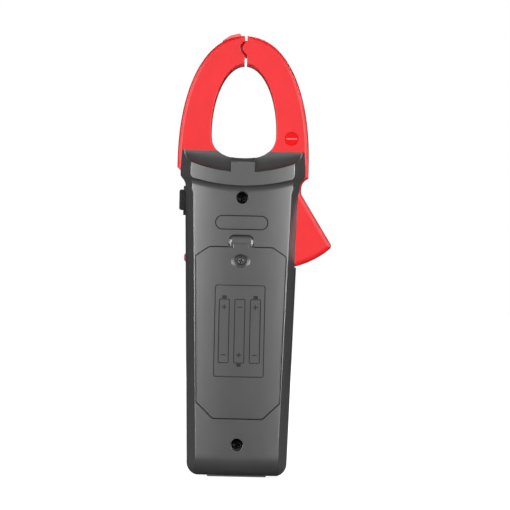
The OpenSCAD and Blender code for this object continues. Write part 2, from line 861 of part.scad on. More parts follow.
module board_chips() {
    y0 = board_t - board_y;
    color("#26262a") {
        box([-7, y0, lcd_z - 7], [7, y0 + 1.6, lcd_z + 7]);
        box([10, y0, lcd_z - 2], [16, y0 + 1.5, lcd_z + 3]);
        box([-17, y0, lcd_z + 1], [-11, y0 + 1.5, lcd_z + 5]);
        box([-5, y0, board_low + 4], [5, y0 + 1.8, board_low + 7.5]);
    }
}

module board_screws() {
    color("silver") for (at = board_screw_at)
        cross_screw(at, 1, 2, 1.2, -board_y - 2.6, board_t - board_y + 1.2);
}

module buzzer() {
    color("#1d1d1f") difference() {
        post([13, neck_z - 24], 6, board_t - board_y, board_t - board_y + 3.5);
        post([13, neck_z - 24], 1, board_t - board_y + 2.5, 0);
    }
}

module status_led() {
    color("#d8e4d8") {
        post([led_x, led_z], 2, -front_depth - 0.3, -board_y);
        post([led_x, led_z], 2.6, 0.3 - front_in, -board_y);
    }
}

module sleeve(x) {
    color("#c9a14a") difference() {
        union() {
            translate([x, socket_y, 2.5]) cylinder(h = socket_depth - 4, r = sleeve_r);
            box([x - 1.2, socket_y - 2.4, socket_depth - 3], [x + 1.2, socket_y - 1.8, socket_depth + 4.6]);
        }
        translate([x, socket_y, 0]) cylinder(h = socket_depth - 4, r = socket_bore / 2);
    }
}

module collar(x) {
    difference() {
        translate([x, socket_y, 0.2]) cylinder(h = socket_depth, r = collar_r);
        translate([x, socket_y, -1]) cylinder(h = socket_depth - 4, r = collar_in_r);
        translate([x, socket_y, 0]) cylinder(h = socket_depth - 1.4, r = sleeve_r + 0.05);
        box([x - 1.3, socket_y - 2.5, socket_depth - 5], [x + 1.3, socket_y - 1.7, socket_depth + 1]);
    }
}

module socket_sleeve_black() sleeve(-socket_pitch / 2);
module socket_sleeve_red() sleeve(socket_pitch / 2);
module socket_collar_black() color("#1b1b1d") collar(-socket_pitch / 2);
module socket_collar_red() color("#c8202a") collar(socket_pitch / 2);

rear_case();
front_case();
case_screws();
battery_door();
door_screw();
door_pad();
battery_cell_1();
battery_cell_2();
battery_cell_3();
battery_springs();
battery_plates();
fixed_jaw_rear_shell();
fixed_jaw_front_shell();
fixed_jaw_core();
fixed_jaw_coil();
hall_sensor();
ncv_sensor_cap();
moving_jaw_rear_shell();
moving_jaw_front_shell();
moving_jaw_core();
moving_jaw_coil();
jaw_slotted_pin();
pivot_pin();
pivot_bush();
return_spring();
selector_knob();
selector_tab();
selector_rotor();
selector_wipers();
detent_spring();
lcd_window();
lcd_glass();
lcd_frame();
backlight_plate();
contact_strips();
key_select();
key_range();
key_hold();
key_zero();
key_switches();
side_button();
side_switch();
main_board();
board_chips();
board_screws();
buzzer();
status_led();
socket_sleeve_black();
socket_sleeve_red();
socket_collar_black();
socket_collar_red();
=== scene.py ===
"""Looks of a clamp meter: red sprung jaws with a side trigger on a grey moulded case.

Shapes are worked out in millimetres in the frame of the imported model, and a mesh is scaled to
metres when its piece is finished. X runs across the meter, Y towards its rear, Z along it.
"""

import json
import logging
import math
from collections.abc import Callable, Sequence
from dataclasses import dataclass
from enum import Enum

import bmesh
import bpy
from mathutils import Matrix, Vector

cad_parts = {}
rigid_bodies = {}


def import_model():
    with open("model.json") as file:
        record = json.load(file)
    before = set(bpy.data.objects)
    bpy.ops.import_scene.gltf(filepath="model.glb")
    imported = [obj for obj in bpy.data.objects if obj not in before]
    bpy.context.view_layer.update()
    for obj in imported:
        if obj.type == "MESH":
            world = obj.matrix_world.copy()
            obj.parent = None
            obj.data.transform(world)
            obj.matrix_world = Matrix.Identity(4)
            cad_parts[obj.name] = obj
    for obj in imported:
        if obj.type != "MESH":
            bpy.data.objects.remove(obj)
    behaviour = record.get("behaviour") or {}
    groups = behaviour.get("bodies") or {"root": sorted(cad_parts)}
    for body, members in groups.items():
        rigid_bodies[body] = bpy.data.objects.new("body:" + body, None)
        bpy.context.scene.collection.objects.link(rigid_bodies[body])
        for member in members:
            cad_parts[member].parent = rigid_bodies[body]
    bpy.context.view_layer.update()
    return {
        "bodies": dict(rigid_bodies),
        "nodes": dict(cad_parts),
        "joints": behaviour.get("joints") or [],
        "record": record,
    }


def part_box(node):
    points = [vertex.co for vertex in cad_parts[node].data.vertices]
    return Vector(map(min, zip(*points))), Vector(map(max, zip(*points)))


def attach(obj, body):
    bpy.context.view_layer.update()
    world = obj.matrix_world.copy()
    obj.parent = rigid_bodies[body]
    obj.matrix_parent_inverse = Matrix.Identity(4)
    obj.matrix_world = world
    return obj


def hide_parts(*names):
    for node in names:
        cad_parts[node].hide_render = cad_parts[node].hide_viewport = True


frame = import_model()

MM = 0.001
MERGE = 0.001  # millimetres: corners nearer than this become one
SLIVER = 0.0005  # millimetres: edges shorter than this go
FLAT = 0.002  # radians: neighbours that turn less than this become one face
Point = tuple[float, float]
Outline = list[Point]
log = logging.getLogger("clamp_meter")


class Half(Enum):
    """The two halves that a moulded case or jaw is split into."""

    REAR = 1
    FRONT = -1


# ---- Outlines ----


def arc(centre: Point, radius: float, start: float, end: float, steps: int) -> Outline:
    """Points along a circle's arc.

    Args:
        centre: The circle's centre.
        radius: The circle's radius.
        start: First angle in degrees, from X towards Z.
        end: Last angle in degrees.
        steps: Number of chords.

    Returns:
        The arc's points, both ends included.
    """
    angles = [math.radians(start + (end - start) * k / steps) for k in range(steps + 1)]
    return [(centre[0] + radius * math.cos(a), centre[1] + radius * math.sin(a)) for a in angles]


def circle(centre: Point, radius: float, steps: int = 48) -> Outline:
    """A full circle's points."""
    return arc(centre, radius, 0, 360 - 360 / steps, steps - 1)


def oval(centre: Point, half: Point, power: float, start: float, end: float, steps: int) -> Outline:
    """Points along a superellipse.

    Args:
        centre: The centre.
        half: Half its width and half its height.
        power: 2 for an ellipse, more for a squarer shape.
        start: First angle in degrees.
        end: Last angle in degrees.
        steps: Number of chords.

    Returns:
        The points, both ends included.
    """
    points = []
    for k in range(steps + 1):
        a = math.radians(start + (end - start) * k / steps)
        c, s = math.cos(a), math.sin(a)
        x = math.copysign(abs(c) ** (2 / power), c)
        z = math.copysign(abs(s) ** (2 / power), s)
        points.append((centre[0] + half[0] * x, centre[1] + half[1] * z))
    return points


def rounded(corners: Sequence[tuple[float, float, float]], steps: int = 6) -> Outline:
    """A closed outline with round corners.

    Args:
        corners: The corners as x, z and radius.
        steps: Chords in each round corner.

    Returns:
        The outline's points.
    """
    points: Outline = []
    for i, (x, z, radius) in enumerate(corners):
        if radius <= 0:
            points.append((x, z))
            continue
        here = Vector((x, z))
        back = (Vector(corners[i - 1][:2]) - here).normalized()
        on = (Vector(corners[(i + 1) % len(corners)][:2]) - here).normalized()
        half = back.angle(on) / 2
        centre = here + (back + on).normalized() * (radius / math.sin(half))
        first = here + back * (radius / math.tan(half)) - centre
        last = here + on * (radius / math.tan(half)) - centre
        a = math.atan2(first.y, first.x)
        turn = math.atan2(last.y, last.x) - a
        turn -= 2 * math.pi * round(turn / (2 * math.pi))
        for k in range(steps + 1):
            b = a + turn * k / steps
            points.append((centre.x + radius * math.cos(b), centre.y + radius * math.sin(b)))
    return points


def pill(centre: Point, width: float, height: float, steps: int = 16) -> Outline:
    """A bar with round ends, its long side along X.

    Args:
        centre: Its centre.
        width: Its length.
        height: Its height.
        steps: Chords in each round end.

    Returns:
        The outline.
    """
    straight = (width - height) / 2
    right = arc((centre[0] + straight, centre[1]), height / 2, -90, 90, steps)
    left = arc((centre[0] - straight, centre[1]), height / 2, 90, 270, steps)
    return right + left


def slab_outline(centre: Point, width: float, height: float, radius: float) -> Outline:
    """A rectangle with round corners about a centre.

    Args:
        centre: Its centre.
        width: Its width.
        height: Its height.
        radius: Its corners' radius.

    Returns:
        The outline.
    """
    x, z = width / 2, height / 2
    cx, cz = centre
    return rounded([(cx + x, cz - z, radius), (cx + x, cz + z, radius),
                    (cx - x, cz + z, radius), (cx - x, cz - z, radius)])


def grown(outline: Outline, by: float) -> Outline:
    """An outline moved outwards by a distance, or inwards if it is negative.

    Args:
        outline: A closed outline, anticlockwise or clockwise.
        by: How far each side moves.

    Returns:
        The moved outline, with as many points.
    """
    area = sum(a[0] * b[1] - b[0] * a[1] for a, b in zip(outline, outline[1:] + outline[:1]))
    side = math.copysign(by, by * area)
    moved = []
    for i, here in enumerate(outline):
        back, on = Vector(outline[i - 1]), Vector(outline[(i + 1) % len(outline)])
        first = (Vector(here) - back).normalized()
        second = (on - Vector(here)).normalized()
        n1, n2 = Vector((first.y, -first.x)), Vector((second.y, -second.x))
        mid = (n1 + n2).normalized()
        reach = side / max(mid.dot(n1), 0.3)
        moved.append((here[0] + mid.x * reach, here[1] + mid.y * reach))
    return moved


def narrowed(outline: Outline, moves: Sequence[Vector], widths: Sequence[float]) -> list[float]:
    """Widths of an inset, cut down wherever it would fold over itself.

    Args:
        outline: The closed outline.
        moves: Which way each point moves for a width of 1.
        widths: The widths wanted at each point.

    Returns:
        The widths that fit.
    """
    kept = list(widths)
    spots = [Vector(point) for point in outline]
    for _ in range(40):
        folded = [i for i in range(-1, len(spots) - 1)
                  if (spots[i + 1] - spots[i]).dot(spots[i + 1] + moves[i + 1] * kept[i + 1]
                                                   - spots[i] - moves[i] * kept[i]) <= 0]
        if not folded:
            break
        for i in folded:
            for k in (i - 1, i, i + 1, i + 2):
                kept[k % len(kept)] *= 0.85
    return kept


# ---- Making pieces ----


class Piece:
    """One mesh piece while it is made, in millimetres."""

    def __init__(self, name: str, bm: bmesh.types.BMesh) -> None:
        """Makes an object from a bmesh, which is freed.

        Args:
            name: The piece's name.
            bm: Its mesh.
        """
        bmesh.ops.recalc_face_normals(bm, faces=bm.faces)
        mesh = bpy.data.meshes.new(name)
        bm.to_mesh(mesh)
        bm.free()
        self.obj = bpy.data.objects.new(name, mesh)
        bpy.context.scene.collection.objects.link(self.obj)

    @classmethod
    def prism(cls, name: str, outline: Outline, low: float, high: float, along: str = "Y") -> "Piece":
        """A flat outline made solid along an axis.

        Args:
            name: The piece's name.
            outline: The closed outline: X and Z, or X and Y if it is drawn out along Z.
            low: Lowest level along the axis.
            high: Highest level.
            along: "Y" or "Z".

        Returns:
            The new piece.
        """
        return cls.stack(name, [(outline, low), (outline, high)], along)

    @classmethod
    def stack(cls, name: str, layers: Sequence[tuple[Outline, float]], along: str = "Y") -> "Piece":
        """Outlines with equal numbers of points, one above the other along an axis, skinned and closed.

        Args:
            name: The piece's name.
            layers: Each outline with its level.
            along: "Y" or "Z".

        Returns:
            The new piece.
        """
        bm = bmesh.new()
        rings = [[bm.verts.new((u, level, v) if along == "Y" else (u, v, level)) for u, v in outline]
                 for outline, level in layers]
        count = len(rings[0])
        for a, b in zip(rings, rings[1:]):
            for i in range(count):
                bm.faces.new((a[i], a[(i + 1) % count], b[(i + 1) % count], b[i]))
        bm.faces.new(rings[0])
        bm.faces.new(rings[-1])
        return cls(name, bm)

    @classmethod
    def turned(cls, name: str, profile: Sequence[Point], at: Point, steps: int = 48,
               axis: str = "Y") -> "Piece":
        """A round piece turned about an axis along Y or Z.

        Args:
            name: The piece's name.
            profile: Radius and height pairs from one end to the other.
            at: Where the axis stands: X and Z, or X and Y if it runs along Z.
            steps: Chords round the piece.
            axis: "Y" or "Z".

        Returns:
            The new piece.
        """
        bm = bmesh.new()
        rings = []
        for radius, height in profile:
            ring = []
            for k in range(steps if radius > 0 else 1):
                a = 2 * math.pi * k / steps
                u, v = at[0] + radius * math.cos(a), at[1] + radius * math.sin(a)
                ring.append(bm.verts.new((u, height, v) if axis == "Y" else (u, v, height)))
            rings.append(ring)
        for a, b in zip(rings, rings[1:]):
            for i in range(steps):
                j = (i + 1) % steps
                corners = [a[i % len(a)], a[j % len(a)], b[j % len(b)], b[i % len(b)]]
                unique = list(dict.fromkeys(corners))
                if len(unique) > 2:
                    bm.faces.new(unique)
        for ring in (rings[0], rings[-1]):
            if len(ring) > 1:
                bm.faces.new(ring)
        return cls(name, bm)

    @classmethod
    def block(cls, name: str, low: Sequence[float], high: Sequence[float]) -> "Piece":
        """A plain block between two corners, used as a cutter or a rib."""
        outline = [(low[0], low[2]), (high[0], low[2]), (high[0], high[2]), (low[0], high[2])]
        return cls.prism(name, outline, low[1], high[1])

    def settle(self) -> "Piece":
        """Applies the piece's modifiers to its mesh.

        Returns:
            The piece.
        """
        graph = bpy.context.evaluated_depsgraph_get()
        mesh = bpy.data.meshes.new_from_object(self.obj.evaluated_get(graph))
        self.obj.modifiers.clear()
        old = self.obj.data
        self.obj.data = mesh
        bpy.data.meshes.remove(old)
        return self

    def fill(self) -> "Piece":
        """Splits the faces with many corners into triangles.

        Returns:
            The piece.
        """
        bm = bmesh.new()
        bm.from_mesh(self.obj.data)
        broad = [face for face in bm.faces if len(face.verts) > 4]
        bmesh.ops.triangulate(bm, faces=broad, ngon_method="EAR_CLIP")
        bm.to_mesh(self.obj.data)
        bm.free()
        return self

    def _combine(self, operation: str, tools: Sequence["Piece"]) -> "Piece":
        """Applies boolean tools to the piece and removes them.

        Args:
            operation: The boolean's name.
            tools: The pieces to do it with.

        Returns:
            The piece.
        """
        self.fill()
        for tool in tools:
            tool.fill()
            step = self.obj.modifiers.new("combine", "BOOLEAN")
            step.operation = operation
            step.solver = "MANIFOLD"
            step.object = tool.obj
            before = len(self.obj.data.polygons)
            self.settle()
            if not self.obj.data.polygons:
                step_name = f"{self.obj.name}: {operation} with {tool.obj.name}"
                raise ValueError(f"{step_name} left nothing of {before} faces")
            mesh = tool.obj.data
            bpy.data.objects.remove(tool.obj)
            bpy.data.meshes.remove(mesh)
        return self

    def cut(self, *tools: "Piece") -> "Piece":
        """Takes the tools' space away."""
        return self._combine("DIFFERENCE", tools)

    def join(self, *tools: "Piece") -> "Piece":
        """Adds the tools' space."""
        return self._combine("UNION", tools)

    def keep(self, *tools: "Piece") -> "Piece":
        """Keeps only what lies in the tools' space."""
        return self._combine("INTERSECT", tools)

    def soften(self, pick: Callable[[bmesh.types.BMEdge], float], segments: int = 3) -> "Piece":
        """Rounds edges, each by its own width.

        Args:
            pick: Gives an edge's width, or 0 to leave it sharp.
            segments: Facets across a rounded edge.

        Returns:
            The piece.
        """
        bm = bmesh.new()
        bm.from_mesh(self.obj.data)
        bmesh.ops.dissolve_limit(bm, angle_limit=FLAT, verts=bm.verts, edges=bm.edges)
        widths = [pick(edge) if edge.is_manifold else 0.0 for edge in bm.edges]
        widest = max(widths)
        layer = bm.edges.layers.float.get("bevel_weight_edge")
        layer = layer or bm.edges.layers.float.new("bevel_weight_edge")
        for edge, width in zip(bm.edges, widths):
            edge[layer] = width / widest
        bm.to_mesh(self.obj.data)
        bm.free()
        step = self.obj.modifiers.new("soften", "BEVEL")
        step.limit_method = "WEIGHT"
        step.width = widest
        step.segments = segments
        step.use_clamp_overlap = False
        return self.settle()

    def finish(self, finish: "Finish", body: str, slot: str, *nodes: str,
               crease: float = 32) -> bpy.types.Object:
        """Scales the piece to metres, shades and dresses it, and hands it to the frame.

        Args:
            finish: What it is made of.
            body: The body that it rides on.
            slot: The record's material slot; not used.
            nodes: The CAD nodes that it stands for.
            crease: Edges sharper than this many degrees stay sharp.

        Returns:
            The Blender object.
        """
        mesh = self.fill().obj.data
        bm = bmesh.new()
        bm.from_mesh(mesh)
        bmesh.ops.remove_doubles(bm, verts=bm.verts, dist=MERGE)
        bmesh.ops.dissolve_degenerate(bm, edges=bm.edges, dist=SLIVER)
        bmesh.ops.scale(bm, vec=(MM, MM, MM), verts=bm.verts)
        bmesh.ops.recalc_face_normals(bm, faces=bm.faces)
        bm.to_mesh(mesh)
        bm.free()
        mesh.polygons.foreach_set("use_smooth", [True] * len(mesh.polygons))
        mesh.set_sharp_from_angle(angle=math.radians(crease))
        weighting = self.obj.modifiers.new("weighting", "WEIGHTED_NORMAL")
        weighting.keep_sharp = True
        self.settle()
        self.obj.data.materials.clear()
        self.obj.data.materials.append(finish.material())
        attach(self.obj, body)
        if nodes:
            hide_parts(*nodes)
        log.info("%s: %d faces on %s", self.obj.name, len(self.obj.data.polygons), body)
        return self.obj


def span(node: str) -> tuple[Vector, Vector]:
    """A CAD node's lowest and highest corners in millimetres."""
    low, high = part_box(node)
    return low / MM, high / MM


# ---- Finishes ----


BLOTCH = 14  # millimetres from one patch of colour to the next
RUB = 5  # millimetres from one rubbed patch to the next
RUB_SPREAD = 0.02  # how far the roughness varies over the rubbed patches


@dataclass(frozen=True)
class Finish:
    """A moulded, rubbed or machined surface with grain, mottling and uneven gloss."""

    name: str
    colour: tuple[float, float, float]
    roughness: float = 0.45
    metallic: float = 0.0
    grain: float = 0.25  # millimetres from one grain to the next
    depth: float = 0.12  # strength of the grain's relief
    mottle: float = 0.06  # how much the colour varies over a few millimetres
    stretch: tuple[float, float, float] = (1, 1, 1)  # draws the grain out, as brushing does
    coat: float = 0.0
    transmission: float = 0.0
    specular: float = 0.5
    glow: float = 0.0
    alpha: float = 1.0

    def material(self) -> bpy.types.Material:
        """The finish as a material, made once.

        Returns:
            The node material.
        """
        made = bpy.data.materials.get(self.name)
        if made:
            return made
        made = bpy.data.materials.new(self.name)
        made.use_nodes = True
        made.diffuse_color = (*self.colour, 1)
        tree = made.node_tree
        shader = tree.nodes["Principled BSDF"]
        shader.inputs["Metallic"].default_value = self.metallic
        shader.inputs["Coat Weight"].default_value = self.coat
        shader.inputs["Transmission Weight"].default_value = self.transmission
        shader.inputs["Specular IOR Level"].default_value = self.specular
        shader.inputs["Alpha"].default_value = self.alpha
        if self.glow:
            shader.inputs["Emission Color"].default_value = (*self.colour, 1)
            shader.inputs["Emission Strength"].default_value = self.glow
        place = tree.nodes.new("ShaderNodeTexCoord")
        mapping = tree.nodes.new("ShaderNodeMapping")
        mapping.inputs["Scale"].default_value = self.stretch
        tree.links.new(place.outputs["Object"], mapping.inputs["Vector"])
        self._tint(tree, mapping, shader)
        self._relief(tree, mapping, shader)
        return made

    def _noise(self, tree: bpy.types.NodeTree, mapping: bpy.types.Node, size: float,
               detail: float) -> bpy.types.Node:
        """A noise whose features are size millimetres apart.

        Args:
            tree: The material's nodes.
            mapping: Where the pattern is read.
            size: Millimetres between its features.
            detail: How many finer layers it has.

        Returns:
            The noise's node.
        """
        noise = tree.nodes.new("ShaderNodeTexNoise")
        noise.inputs["Scale"].default_value = 1 / (size * MM)
        noise.inputs["Detail"].default_value = detail
        tree.links.new(mapping.outputs["Vector"], noise.inputs["Vector"])
        return noise

    def _tint(self, tree: bpy.types.NodeTree, mapping: bpy.types.Node, shader: bpy.types.Node) -> None:
        """Varies the colour and the gloss over broad and fine patches.

        Args:
            tree: The material's nodes.
            mapping: Where the pattern is read.
            shader: The shader to colour.
        """
        noise = self._noise(tree, mapping, BLOTCH, 5)
        ramp = tree.nodes.new("ShaderNodeValToRGB")
        for stop, sign in zip(ramp.color_ramp.elements, (-1, 1)):
            shade = [min(1.0, c * (1 + sign * self.mottle)) for c in self.colour]
            stop.color = (*shade, 1)
            stop.position = 0.5 + sign * 0.2
        tree.links.new(noise.outputs["Fac"], ramp.inputs["Fac"])
        tree.links.new(ramp.outputs["Color"], shader.inputs["Base Color"])
        rub = self._noise(tree, mapping, RUB, 3)
        spread = tree.nodes.new("ShaderNodeMapRange")
        spread.inputs["To Min"].default_value = max(0.02, self.roughness - RUB_SPREAD)
        spread.inputs["To Max"].default_value = min(1.0, self.roughness + RUB_SPREAD)
        tree.links.new(rub.outputs["Fac"], spread.inputs["Value"])
        tree.links.new(spread.outputs["Result"], shader.inputs["Roughness"])

    def _relief(self, tree: bpy.types.NodeTree, mapping: bpy.types.Node, shader: bpy.types.Node) -> None:
        """Raises the fine grain.

        Args:
            tree: The material's nodes.
            mapping: Where the pattern is read.
            shader: The shader to roughen.
        """
        noise = self._noise(tree, mapping, self.grain, 2)
        bump = tree.nodes.new("ShaderNodeBump")
        bump.inputs["Strength"].default_value = self.depth
        bump.inputs["Distance"].default_value = self.grain * MM * 0.5
        tree.links.new(noise.outputs["Fac"], bump.inputs["Height"])
        tree.links.new(bump.outputs["Normal"], shader.inputs["Normal"])


class Finishes(Enum):
    """Every finish on the meter."""

    REAR_GREY = Finish("case_grey_satin", (0.047, 0.047, 0.047), 0.30, mottle=0.05, specular=0.6)
    FRONT_GREY = Finish("front_grey_satin", (0.075, 0.077, 0.080), 0.42, mottle=0.05)
    DOOR_GREY = Finish("door_grey_satin", (0.040, 0.040, 0.040), 0.31, mottle=0.05, specular=0.6)
    # Painted shade: a near-black finish for floors laid in grooves and gaps that only have shade.
    SHADE = Finish("groove_painted_shade", (0.012, 0.012, 0.012), 0.7, mottle=0.1, specular=0.1)
    # Painted shade: a darker grey on the raised battery signs and on the frame groove's floor. The signs are
    # real mouldings; their darker tone stands in for their shade.
    PAINTED_SIGN_SHADE = Finish("signs_frame_painted_shade", (0.022, 0.022, 0.022), 0.3, mottle=0.05, specular=0.2)
    JAW_RED = Finish("jaw_red_satin", (0.78, 0.018, 0.022), 0.36, mottle=0.04, grain=0.3, depth=0.08,
                     specular=0.13)
    CAP_RED = Finish("cap_red_clear", (0.72, 0.09, 0.09), 0.5, mottle=0.05, depth=0.03, specular=0.3)
    PIN_RED = Finish("pin_red_gloss", (0.78, 0.002, 0.004), 0.5, mottle=0.05, specular=0.04)
    BLACK_RUBBER = Finish("button_black_rubber", (0.010, 0.010, 0.010), 0.8, specular=0.15, grain=0.18,
                          depth=0.3, mottle=0.2)
    KEY_RUBBER = Finish("key_grey_rubber", (0.30, 0.31, 0.32), 0.62, grain=0.2, depth=0.2, mottle=0.06)
    BLACK_STEEL = Finish("screw_black_oxide", (0.02, 0.02, 0.021), 0.42, 0.8, grain=0.15, depth=0.2,
                         mottle=0.3)
    SCREW_STEEL = Finish("screw_dark_steel", (0.06, 0.06, 0.06), 0.55, 0.9, grain=0.15, depth=0.3,
                         mottle=0.3)
    STEEL = Finish("steel_turned", (0.36, 0.36, 0.37), 0.28, 1.0, grain=0.1, depth=0.1, stretch=(1, 8, 1))
    NICKEL = Finish("contact_nickel", (0.62, 0.60, 0.57), 0.25, 1.0, grain=0.12, depth=0.08, mottle=0.08)
    BRASS = Finish("bush_brass", (0.72, 0.50, 0.20), 0.32, 1.0, grain=0.12, depth=0.1, mottle=0.1)
    IRON = Finish("core_iron_rolled", (0.26, 0.26, 0.27), 0.42, 0.9, grain=0.2, depth=0.3, mottle=0.15,
                  stretch=(1, 6, 1))
    COPPER = Finish("winding_copper_enamel", (0.55, 0.20, 0.07), 0.34, 0.7, grain=0.35, depth=0.8,
                    mottle=0.15, stretch=(0.2, 0.2, 4), coat=0.4)
    FOAM = Finish("pad_foam", (0.02, 0.02, 0.021), 0.95, grain=0.5, depth=0.9, mottle=0.3)
    CELL = Finish("cell_jacket_blue", (0.03, 0.07, 0.12), 0.3, grain=0.3, depth=0.05, coat=0.5)
    BLACK_PLASTIC = Finish("plastic_black_matt", (0.022, 0.022, 0.024), 0.5, mottle=0.15)
    KNOB_BLACK = Finish("knob_black_satin", (0.030, 0.031, 0.033), 0.42, mottle=0.12)
    WHITE_PLASTIC = Finish("plastic_ivory", (0.72, 0.70, 0.62), 0.45, mottle=0.04)
    WINDOW = Finish("window_smoked", (0.10, 0.12, 0.12), 0.06, grain=2, depth=0.01, coat=0.6, alpha=0.16)
    LCD = Finish("display_reflective", (0.42, 0.48, 0.38), 0.25, grain=0.4, depth=0.03, mottle=0.03)
    LCD_INK = Finish("display_segment", (0.03, 0.035, 0.03), 0.4, mottle=0.1)
    STRIP = Finish("contact_strip_rubber", (0.45, 0.18, 0.22), 0.6, grain=0.2, depth=0.4)
    BOARD = Finish("board_green_mask", (0.02, 0.13, 0.05), 0.35, grain=0.8, depth=0.3, mottle=0.25, coat=0.4)
    LED = Finish("led_clear", (0.75, 0.85, 0.78), 0.12, transmission=0.6, coat=0.6)
    SOCKET_RED = Finish("socket_red", (0.52, 0.012, 0.018), 0.4, mottle=0.06)
    PRINT_WHITE = Finish("print_white", (0.75, 0.75, 0.74), 0.5, mottle=0.03)
    PANEL = Finish("panel_charcoal", (0.028, 0.029, 0.031), 0.35, mottle=0.1)


# ---- Case ----


@dataclass
class CaseForm:
    """The outer form that both halves of the case share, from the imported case's own box."""

    half: Half
    neck_z: float = 153.0
    pivot: Point = (-16.5, 157.0)
    corner: float = 6.4
    lip: float = 0.5
    grip_top: float = 30.4
    grip_low: float = 26.3
    notch_r: float = 6.4
    shoulder_rise: float = 3.0
    end_round: float = 10.0
    opening_half: Point = (17.25, 14.2)
    opening_power: float = 2.5
    opening_z: float = 182.6
    parting: float = 0.06
    wells: Point = (147.6, 17.5)
    slot_y: float = 9.4
    trigger_r: float = 47.3
    edge: float = 0.22
    kink_x: float = 13.6
    hollow_top: float = 148.8

    def __post_init__(self) -> None:
        """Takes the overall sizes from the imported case."""
        low, high = span("rear_case" if self.half is Half.REAR else "front_case")
        self.shoulder = high.x
        self.hub_z = high.z
        self.depth = 16.5 if self.half is Half.REAR else -low.y
        self.notch_x = self.grip_top + 0.7 + self.notch_r

    def half_width(self, z: float) -> float:
        """Half the case's width at a height, notches and round bottom corners included.

        Args:
            z: The height.

        Returns:
            Half the width.
        """
        up = min(max((z - 14) / (self.neck_z - 14), 0), 1)
        width = self.grip_low + 0.4 + (self.grip_top - self.grip_low - 0.4) * up
        if z < 14:
            width = self.grip_low + 0.4 * max(z, 0) / 14
        rise = self.lip + self.corner - z
        if rise > 0:
            width -= self.corner - math.sqrt(max(self.corner ** 2 - rise ** 2, 0))
        foot = self.neck_z - self.shoulder_rise
        if z > foot:
            width += (self.shoulder - width) * min((z - foot) / self.shoulder_rise, 1)
        if z > self.neck_z + 10:
            width -= 0.6 * (z - self.neck_z - 10) / (self.hub_z - self.neck_z - 10)
        inside = self.notch_r ** 2 - (z - self.neck_z) ** 2
        return min(width, self.notch_x - math.sqrt(inside)) if inside > 0 else width

    def opening(self, x: float) -> float:
        """Height of the jaw opening's lower edge, or of the shoulders outside it.

        Args:
            x: The place across the case.

        Returns:
            The height.
        """
        half, drop = self.opening_half
        if abs(x) >= half:
            return self.hub_z
        return min(self.hub_z, self.opening_z - drop * (1 - (abs(x) / half) ** self.opening_power) ** 0.4)

    def face(self, x: float, z: float) -> float:
        """How far the skin stands from the parting plane."""
        raise NotImplementedError

    def wall(self, y: float, z: float) -> float:
        """Half the width of the side wall at a depth."""
        raise NotImplementedError

    def columns(self, edge: float) -> list[float]:
        """Places across the face from the middle to its edge."""
        raise NotImplementedError

    def heights(self) -> list[Callable[[float], float]]:
        """The rows' heights, from the bottom end to the top edge."""
        raise NotImplementedError

    def row(self, height: Callable[[float], float]) -> list[tuple[float, float, float]]:
        """Half of one cross-section, from the middle of the face to the parting plane.

        Args:
            height: Gives the row's Z at a place across the face.

        Returns:
            The section's points.
        """
        x = 26.0  # a first guess, which the rounds below settle
        for _ in range(8):
            y = self.face(x, height(x))
            x = self.wall(y, height(x))
        inner = x - self.edge
        points = [(c, self.face(c, height(c)), height(c)) for c in self.columns(inner)]
        z = height(x)
        low_y = self.face(x, z) - self.edge
        a, b, c = points[-1][:2], (x, y), (self.wall(low_y, z), low_y)
        for k in range(1, 5):
            t = k / 4
            px = (1 - t) ** 2 * a[0] + 2 * t * (1 - t) * b[0] + t * t * c[0]
            py = (1 - t) ** 2 * a[1] + 2 * t * (1 - t) * b[1] + t * t * c[1]
            points.append((px, py, z))
        for k in range(1, 9):
            y = low_y * (1 - k / 8)
            points.append((self.wall(y, z), y, z))
        points.append((self.wall(0, z), -1.0, z))
        return points

    def solid(self, name: str) -> Piece:
        """The skin closed below the parting plane, as a solid block.

        Args:
            name: The block's name.

        Returns:
            The block.
        """
        bm = bmesh.new()
        grid = []
        for height in self.heights():
            half = self.row(height)
            section = [(-x, y, z) for x, y, z in reversed(half)] + half[1:]
            grid.append([bm.verts.new((x, y * self.half.value, z)) for x, y, z in section])
        for a, b in zip(grid, grid[1:]):
            for i in range(len(a) - 1):
                bm.faces.new((a[i], a[i + 1], b[i + 1], b[i]))
            bm.faces.new((a[0], b[0], b[-1], a[-1]))
        for row in (grid[0], grid[-1]):
            feet = [bm.verts.new((v.co.x, -self.half.value, v.co.z)) for v in row[1:-1]]
            foot = [row[0], *feet, row[-1]]
            for i in range(1, len(row) - 2):
                bm.faces.new((row[i], row[i + 1], foot[i + 1], foot[i]))
            bm.faces.new((row[0], row[1], foot[1]))
            bm.faces.new((row[-1], row[-2], foot[-2]))
            bm.faces.new(foot)
        return Piece(name, bm)

    def foot(self) -> Outline:
        """The outline of the lip at the bottom end."""
        return rounded([(-16, 0, 0.6), (16, 0, 0.6), (14.6, 3, 0), (-14.6, 3, 0)])

    def reach(self, low: float, high: float) -> Point:
        """Two depths on this half's side of the parting plane, lowest first."""
        first, last = sorted((low * self.half.value, high * self.half.value))
        return first, last

    def jaw_slot(self) -> Piece:
        """The space that the jaws' roots and the trigger stand in.

        Returns:
            The cutter.
        """
        low, high = self.reach(-3, self.slot_y)
        neck = Piece.block("neck_slot", (-60, low, self.neck_z + 0.4), (60, high, 200))
        well = Piece.block("waist", (-28.2, low, self.neck_z - 4.6), (28.2, high, self.neck_z + 1))
        edge = [(x * 1.295, self.opening(x * 1.295) - 2.2) for x in range(-10, 11)]
        saddle = Piece.prism("saddle", edge + [(12.95, 190), (-12.95, 190)], *self.reach(-4, 20))
        tube = Piece.prism("tube", circle((0, self.wells[0]), 4.3), *self.reach(-6, 20))
        side = arc(self.pivot, self.trigger_r, 180, 264, 40)
        sweep = [(x, z) for x, z in side if x < -22.4] + [(-22.4, self.neck_z + 1), (-60, self.neck_z + 1)]
        return neck.join(well).cut(saddle, tube).join(Piece.prism("trigger_slot", sweep, low, high))


